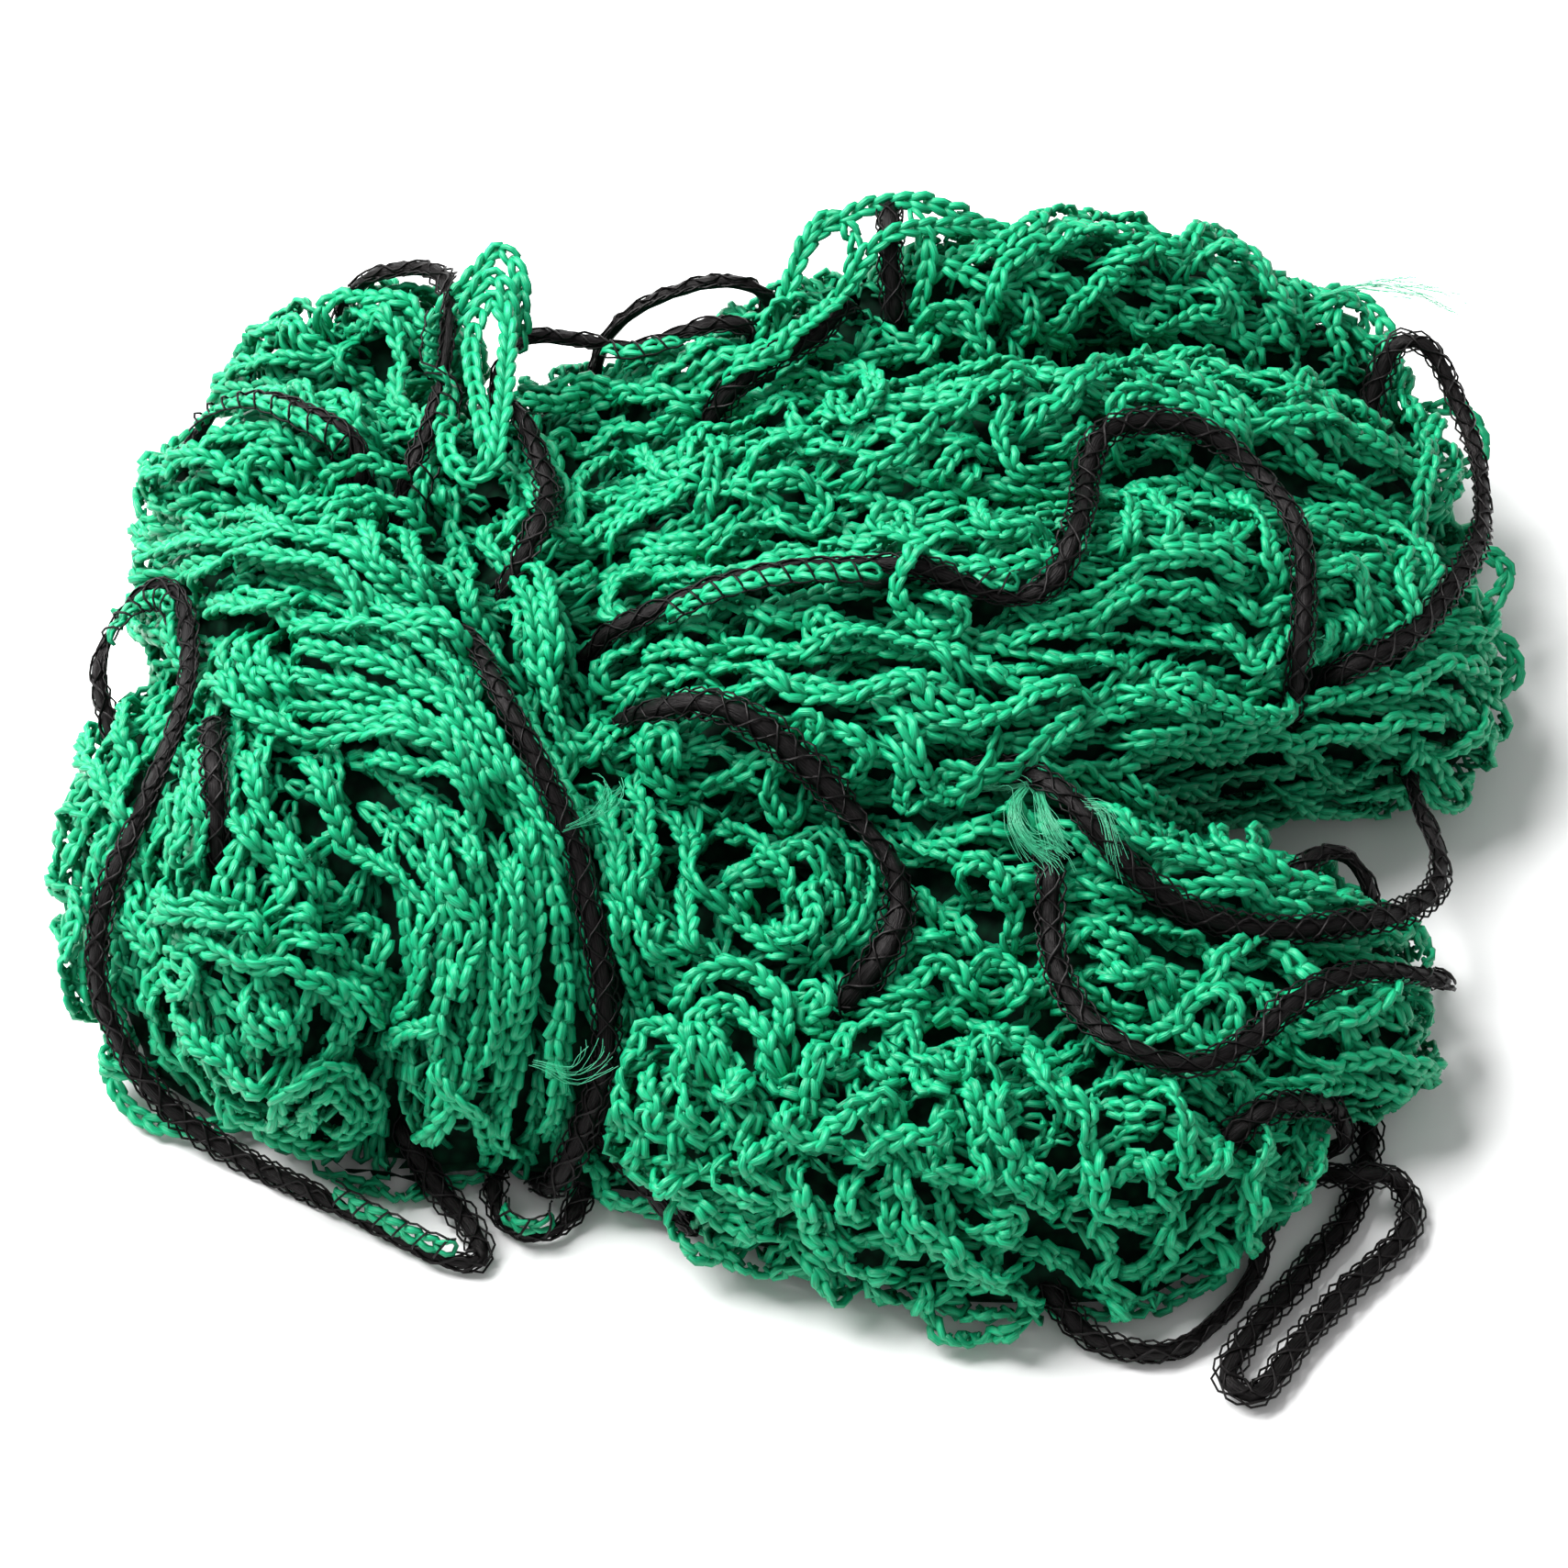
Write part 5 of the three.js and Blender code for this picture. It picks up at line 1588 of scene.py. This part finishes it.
# %% Knitting
SIZE_PLAY, LEAN_PLAY, GIRTH_PLAY = 0.09, 0.2, 0.07
END_GIRTH, END_GIRTH_STEP = 0.7, 0.15
STREAK_SHIFT = 500  # each stitch gets other streaks
# the darkest painted shade of a cave, as a share of the full colour
DEEPEST_CAVE = 0.12
# the painted shade low down in a stitch
STITCH_FOOT, STITCH_DEPTH = 0.5, 1.3  # millimetres below its middle where a stitch is darkest, and its depth
SPARE_LINKS = 60  # room in a piece for one more strand


def shades(places, height, layer_shade, cave):
    """Painted shade on the yarn: darker in a cave and low down in a stitch."""
    sky = np.array([open_share(place) for place in places])[:, None, None]
    risen = np.clip((height + STITCH_FOOT) / STITCH_DEPTH, 0, 1)
    return layer_shade * np.maximum(DEEPEST_CAVE, 1 - cave * (1 - sky)) * (0.5 + 0.5 * risen)


def add_links(tubes, line, up, rows, sides, cover, layer_shade, cave):
    """Knits one strand and returns the number of its stitches. Those under a cover are left out."""
    profile = np.vstack([rows[:-1] * MIRROR, rows[-1:], rows[-2::-1]])
    axes = frames(line, up)
    step = run_of(line)[-1] / MM / (len(line) - 1)
    count = int((len(line) - 1) * step / LINK_PITCH)
    if count < 2:
        return 0
    jitter = 1 + SIZE_PLAY * dice.standard_normal((count, 1))
    run = (np.arange(count)[:, None] + profile[None, :, 0]) * LINK_PITCH
    across = profile[None, :, 1] * STRAND_WIDTH * jitter
    rise = profile[None, :, 2] * STRAND_WIDTH * jitter
    lean = LEAN_PLAY * dice.standard_normal((count, 1)) * np.sin(np.linspace(0, math.pi, len(profile)))[None]
    girth = profile[None, :, 3] * (1 + GIRTH_PLAY * dice.standard_normal((count, 1)))
    from_end = np.minimum(np.arange(count), count - 1 - np.arange(count))[:, None]
    girth = girth * np.clip(END_GIRTH + END_GIRTH_STEP * from_end, 0, 1)

    sideways, upwards = at(axes[1], run, step), at(axes[2], run, step)
    middle = at(line, run, step) + (across + lean)[..., None] * sideways * MM + rise[..., None] * upwards * MM
    forward = unit(np.gradient(middle, axis=1))
    over = unit(upwards - forward * np.einsum("ijk,ijk->ij", forward, upwards)[..., None])
    beside = np.cross(over, forward)
    turn = circle(sides)
    ring = np.stack([LEG_HALF_WIDTH * np.cos(turn), LEG_HALF_HEIGHT * np.sin(turn)], axis=-1)[None, None]
    rings = (middle[:, :, None, :] + girth[:, :, None, None] * MM
             * (ring[..., :1] * beside[:, :, None, :] + ring[..., 1:] * over[:, :, None, :]))
    across_yarn = girth[:, :, None, None] * ring
    lengths = np.cumsum(np.linalg.norm(np.diff(middle, axis=1), axis=2), axis=1)
    lengths = np.concatenate([np.zeros((count, 1)), lengths], axis=1) / MM
    along = lengths[:, :, None] + dice.uniform(0, STREAK_SHIFT, (count, 1, 1))

    centre = (np.arange(count) + 0.5) * LINK_PITCH
    places = at(line, centre, step)
    keep = ~hidden(places, *(at(axis, centre, step) for axis in axes), cover)
    if keep.any():
        shade = shades(places, rise[:, :, None] + across_yarn[..., 1], layer_shade, cave)
        tubes.add(rings[keep], across_yarn[keep], along[keep], shade=shade[keep])
    return int(keep.sum())


def knit(name, strands, rows, sides, most_links, cover, layer_shade=1.0, cave=0.4):
    """Knits strands into as many pieces as the limit on stitches asks for."""
    strands = sorted(strands, key=lambda strand: strand[0][:, 0].mean())
    pieces, links, here = [], 0, most_links
    for line, up in strands:
        if here > most_links - SPARE_LINKS:
            pieces.append(TubeMesh(f"{name}_{len(pieces) + 1}"))
            here = 0
        made = add_links(pieces[-1], line, up, rows, sides, cover, layer_shade, cave)
        links += made
        here += made
    objects = [tubes.object([green_yarn]) for tubes in pieces]
    for piece in objects:
        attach(piece, "root")
    print(name, "stitches:", links, "triangles:", 2 * sum(len(piece.data.polygons) for piece in objects))


# %% [markdown]
# The strands on top get the full stitch. Those of the fill and of the deep layer get the plainer one, and
# fill strands on the far side of the heap one side less. The fill on the near side and the deep layer get
# stronger painted shade in the caves, and the deep layer is painted darker all over, as shade.

# %% Knitted net
FAR_SIDE = -0.1  # the mean cosine to the camera below which a strand counts as far
fine_tree = tree_of(np.vstack([line for line, _ in fine_strands + fill_strands]))
near_fill, far_fill = [], []
for line, up in fill_strands:
    (near_fill if float(np.mean(up @ np.array(away))) > FAR_SIDE else far_fill).append((line, up))
knit("net_strands", fine_strands, FINE_ROWS, sides=5, most_links=1650, cover=fine_tree)
knit("net_fill_strands", near_fill, PLAIN_ROWS, sides=5, most_links=2900, cover=fine_tree, cave=0.7)
knit("net_rear_strands", far_fill, PLAIN_ROWS, sides=4, most_links=3900, cover=fine_tree)
# the deep layer is painted darker all over, and more in its caves, as painted shade
knit("net_deep_strands", deep_strands, PLAIN_ROWS, sides=4, most_links=3900, cover=fine_tree, layer_shade=0.75,
     cave=1.2)

# %% [markdown]
# ## Frayed filaments
# Where the net was cut, single filaments have come loose and lie over the strands as pale, hair-fine
# tufts. Each tuft follows a route, and its hairs part from it more and more towards the end.

# %% Tufts
TUFTS = [
    # hairs, spread in millimetres at the far end, the pixels that the tuft passes
    (44, 0.8, [(1038, 864), (1068, 862), (1094, 866), (1121, 875), (1148, 893), (1172, 905), (1196, 906),
               (1208, 932), (1217, 962)]),
    (46, 1.1, [(1090, 866), (1118, 876), (1106, 894), (1103, 908), (1115, 918), (1140, 932), (1155, 944),
               (1160, 962)]),
    (40, 1.0, [(1100, 868), (1124, 881), (1142, 908), (1160, 929), (1172, 943)]),
    (10, 1.6, [(1042, 878), (1070, 887), (1094, 876), (1112, 882), (1125, 905)]),
    (12, 2.0, [(600, 915), (615, 908), (630, 900), (645, 890), (660, 880), (672, 872)]),
    (12, 2.0, [(1425, 735), (1415, 720), (1405, 708), (1415, 695), (1430, 690)]),
    (12, 2.0, [(585, 1150), (600, 1150), (620, 1160), (632, 1150), (645, 1135), (650, 1120)]),
]
FREE_TUFTS = [
    # hairs, spread, route in millimetres
    (26, 2.2, [(98, 99, 43), (106, 99, 46), (114, 97, 48), (122, 94, 48), (129, 91, 47)]),
]
HAIR = 0.06  # radius in millimetres
HAIR_POINTS = 10
TUFT_LIFT = 4.6  # millimetres over the skin, so above the strands
TUFT_STEP = 2 * MM
LOCK = 0.3  # millimetres to which hairs spread where they begin
HAIR_BEGINS, HAIR_ENDS = (0, 0.35), (0.6, 1)  # shares of the route
HAIR_SWING, HAIR_WAVES, HAIR_PHASES = (0.2, 0.7), (3, 9), (0, 6)


def add_tuft(tubes, line, normals, hairs, spread, lift):
    """Hairs along a line that part from it towards its end."""
    run = np.linspace(0, 1, len(line))
    _, side, _ = frames(line, normals)
    for _ in range(hairs):
        first, last = dice.uniform(*HAIR_BEGINS), dice.uniform(*HAIR_ENDS)
        share = np.linspace(first, last, HAIR_POINTS)
        middle, aside, above = (
            np.column_stack([np.interp(share, run, values[:, axis]) for axis in range(3)])
            for values in (line, side, normals))
        part = (share - first) / (last - first)
        swing = spread * dice.uniform(*HAIR_SWING)
        wave = swing * np.sin(part * dice.uniform(*HAIR_WAVES) + dice.uniform(*HAIR_PHASES)) * part
        out = dice.normal() * (LOCK + spread * part ** 1.5) + wave
        rise = lift + abs(dice.normal()) * (LOCK + 0.5 * spread * part ** 2)
        tubes.thread(middle + (out[:, None] * aside + rise[:, None] * above) * MM, above, HAIR)


tuft_tubes = TubeMesh("frayed_filaments")
for hairs, spread, pixels in TUFTS:
    add_tuft(tuft_tubes, *route_on_skin(pixels), hairs, spread, TUFT_LIFT)
for hairs, spread, route in FREE_TUFTS:
    line = route_line(route, TUFT_STEP)
    add_tuft(tuft_tubes, line, facing(away, line), hairs, spread, lift=0)
pale_yarn = yarn_material(
    "pale_loose_filaments", dark=(0.03, 0.35, 0.175), light=(0.085, 0.53, 0.31),
    tint=(0.8, 1.0, 0.9), roughness=0.35, gloss=0.5, streaks=1.0, bump=0.0)
tufts = tuft_tubes.object([pale_yarn])
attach(tufts, "root")
print("tufts:", 2 * len(tufts.data.polygons), "triangles")

# %% [markdown]
# ## The inside of the heap
# Between the strands one looks into deeper layers of the same net, in shade. A coarse skin, drawn in by
# more than a strand's depth, stands for them. Its near-black green is painted shade, far darker than the
# yarn's own colour, with small cells like stitches. It is left out where the heap is thin.

# %% Core
CORE_DEPTH = 5.4 * MM
CORE_VOXEL = 4.0 * MM
CORE_SMOOTH_ROUNDS = 3
CORE_THICKNESS_ASKED, CORE_THICK = 16 * MM, 11.5 * MM
CORE_LOOP_REACH = 4 * MM
CORE_LOWEST = 0.2 * MM
CELLS = 420  # for each metre
CELL_EDGE = 0.75


def point_normals(points, faces):
    of_faces = face_normals(points, faces)
    normals = np.zeros_like(points)
    for corner in range(4):
        np.add.at(normals, faces[:, corner], of_faces)
    return unit(normals)


def core_material():
    material, nodes, links, shader = new_material("inner_layers_painted_shade", roughness=0.8)
    shader.inputs["Specular IOR Level"].default_value = 0.1
    place = nodes.new("ShaderNodeTexCoord")
    cells = nodes.new("ShaderNodeTexVoronoi")
    cells.inputs["Scale"].default_value = CELLS
    links.new(place.outputs["Object"], cells.inputs["Vector"])
    tones = nodes.new("ShaderNodeValToRGB")
    middle, edge = tones.color_ramp.elements
    # near-black green: painted shade of the net's inner layers, far darker than the green yarn's own colour
    middle.color = (0.0008, 0.03, 0.013, 1)
    edge.color = (0.0002, 0.007, 0.0035, 1)
    edge.position = CELL_EDGE
    links.new(cells.outputs["Distance"], tones.inputs["Fac"])
    links.new(tones.outputs["Color"], shader.inputs["Base Color"])
    return material


core_points, core_faces = remeshed(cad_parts["net"], CORE_VOXEL)
core_points = relaxed(core_points, core_faces, CORE_SMOOTH_ROUNDS)
core_middles = core_points[core_faces].mean(axis=1)
thick = thickness(core_middles, face_normals(core_points, core_faces),
                  surface_tree(core_points, core_faces), CORE_THICKNESS_ASKED) > CORE_THICK
thick &= ~on_loops(core_middles, CORE_LOOP_REACH)
core_points = core_points - CORE_DEPTH * point_normals(core_points, core_faces)
core_points[:, 2] = np.maximum(core_points[:, 2], CORE_LOWEST)
core_mesh = bpy.data.meshes.new("net_inner_layers_painted_shade")
core_mesh.from_pydata(core_points.tolist(), [], core_faces[thick].tolist())
core_mesh.materials.append(core_material())
core_mesh.polygons.foreach_set("use_smooth", np.ones(int(thick.sum()), bool))
core = linked("net_inner_layers_painted_shade", core_mesh)
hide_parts("net")
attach(core, "root")
print("inner layers:", len(core_mesh.polygons), "faces")

# %% [markdown]
# ## Floor and light
# The picture is a bright product shot: a pale floor, a broad soft light from the upper back left, a weak
# one from the front and a bright surround that keeps the shadows open.

# %% Floor and light
FLOOR_HALF_SIDE = 3.0
SURROUND = 0.38
HEAP_MIDDLE = (0, 0, 0.03)

floor_mesh = bpy.data.meshes.new("floor")
floor_mesh.from_pydata(
    [(x * FLOOR_HALF_SIDE, y * FLOOR_HALF_SIDE, 0) for x, y in ((-1, -1), (1, -1), (1, 1), (-1, 1))],
    [], [(0, 1, 2, 3)])
floor_material, _, _, floor_shader = new_material("pale_floor", roughness=0.8)
floor_shader.inputs["Base Color"].default_value = (0.9, 0.9, 0.9, 1)
floor_shader.inputs["Specular IOR Level"].default_value = 0.1
floor_mesh.materials.append(floor_material)
floor = linked("floor", floor_mesh)

world = bpy.data.worlds.new("bright_surround")
world.use_nodes = True
background = world.node_tree.nodes["Background"]
background.inputs["Color"].default_value = (1, 1, 1, 1)
background.inputs["Strength"].default_value = SURROUND
bpy.context.scene.world = world


def softbox(name, place, aim, size, power):
    light = bpy.data.lights.new(name, "AREA")
    light.shape = "DISK"
    light.size = size
    light.energy = power
    lamp = linked(name, light)
    lamp.location = place
    lamp.rotation_euler = (Vector(aim) - Vector(place)).to_track_quat("-Z", "Y").to_euler()


softbox("key_light", place=(-0.66, 0.34, 1.0), aim=HEAP_MIDDLE, size=1.0, power=43)
softbox("front_light", place=(0.2, -0.9, 0.9), aim=HEAP_MIDDLE, size=0.6, power=1.0)
bpy.context.scene.view_settings.view_transform = "Standard"
bpy.context.scene.view_settings.look = "None"
print("floor and lights are in place")
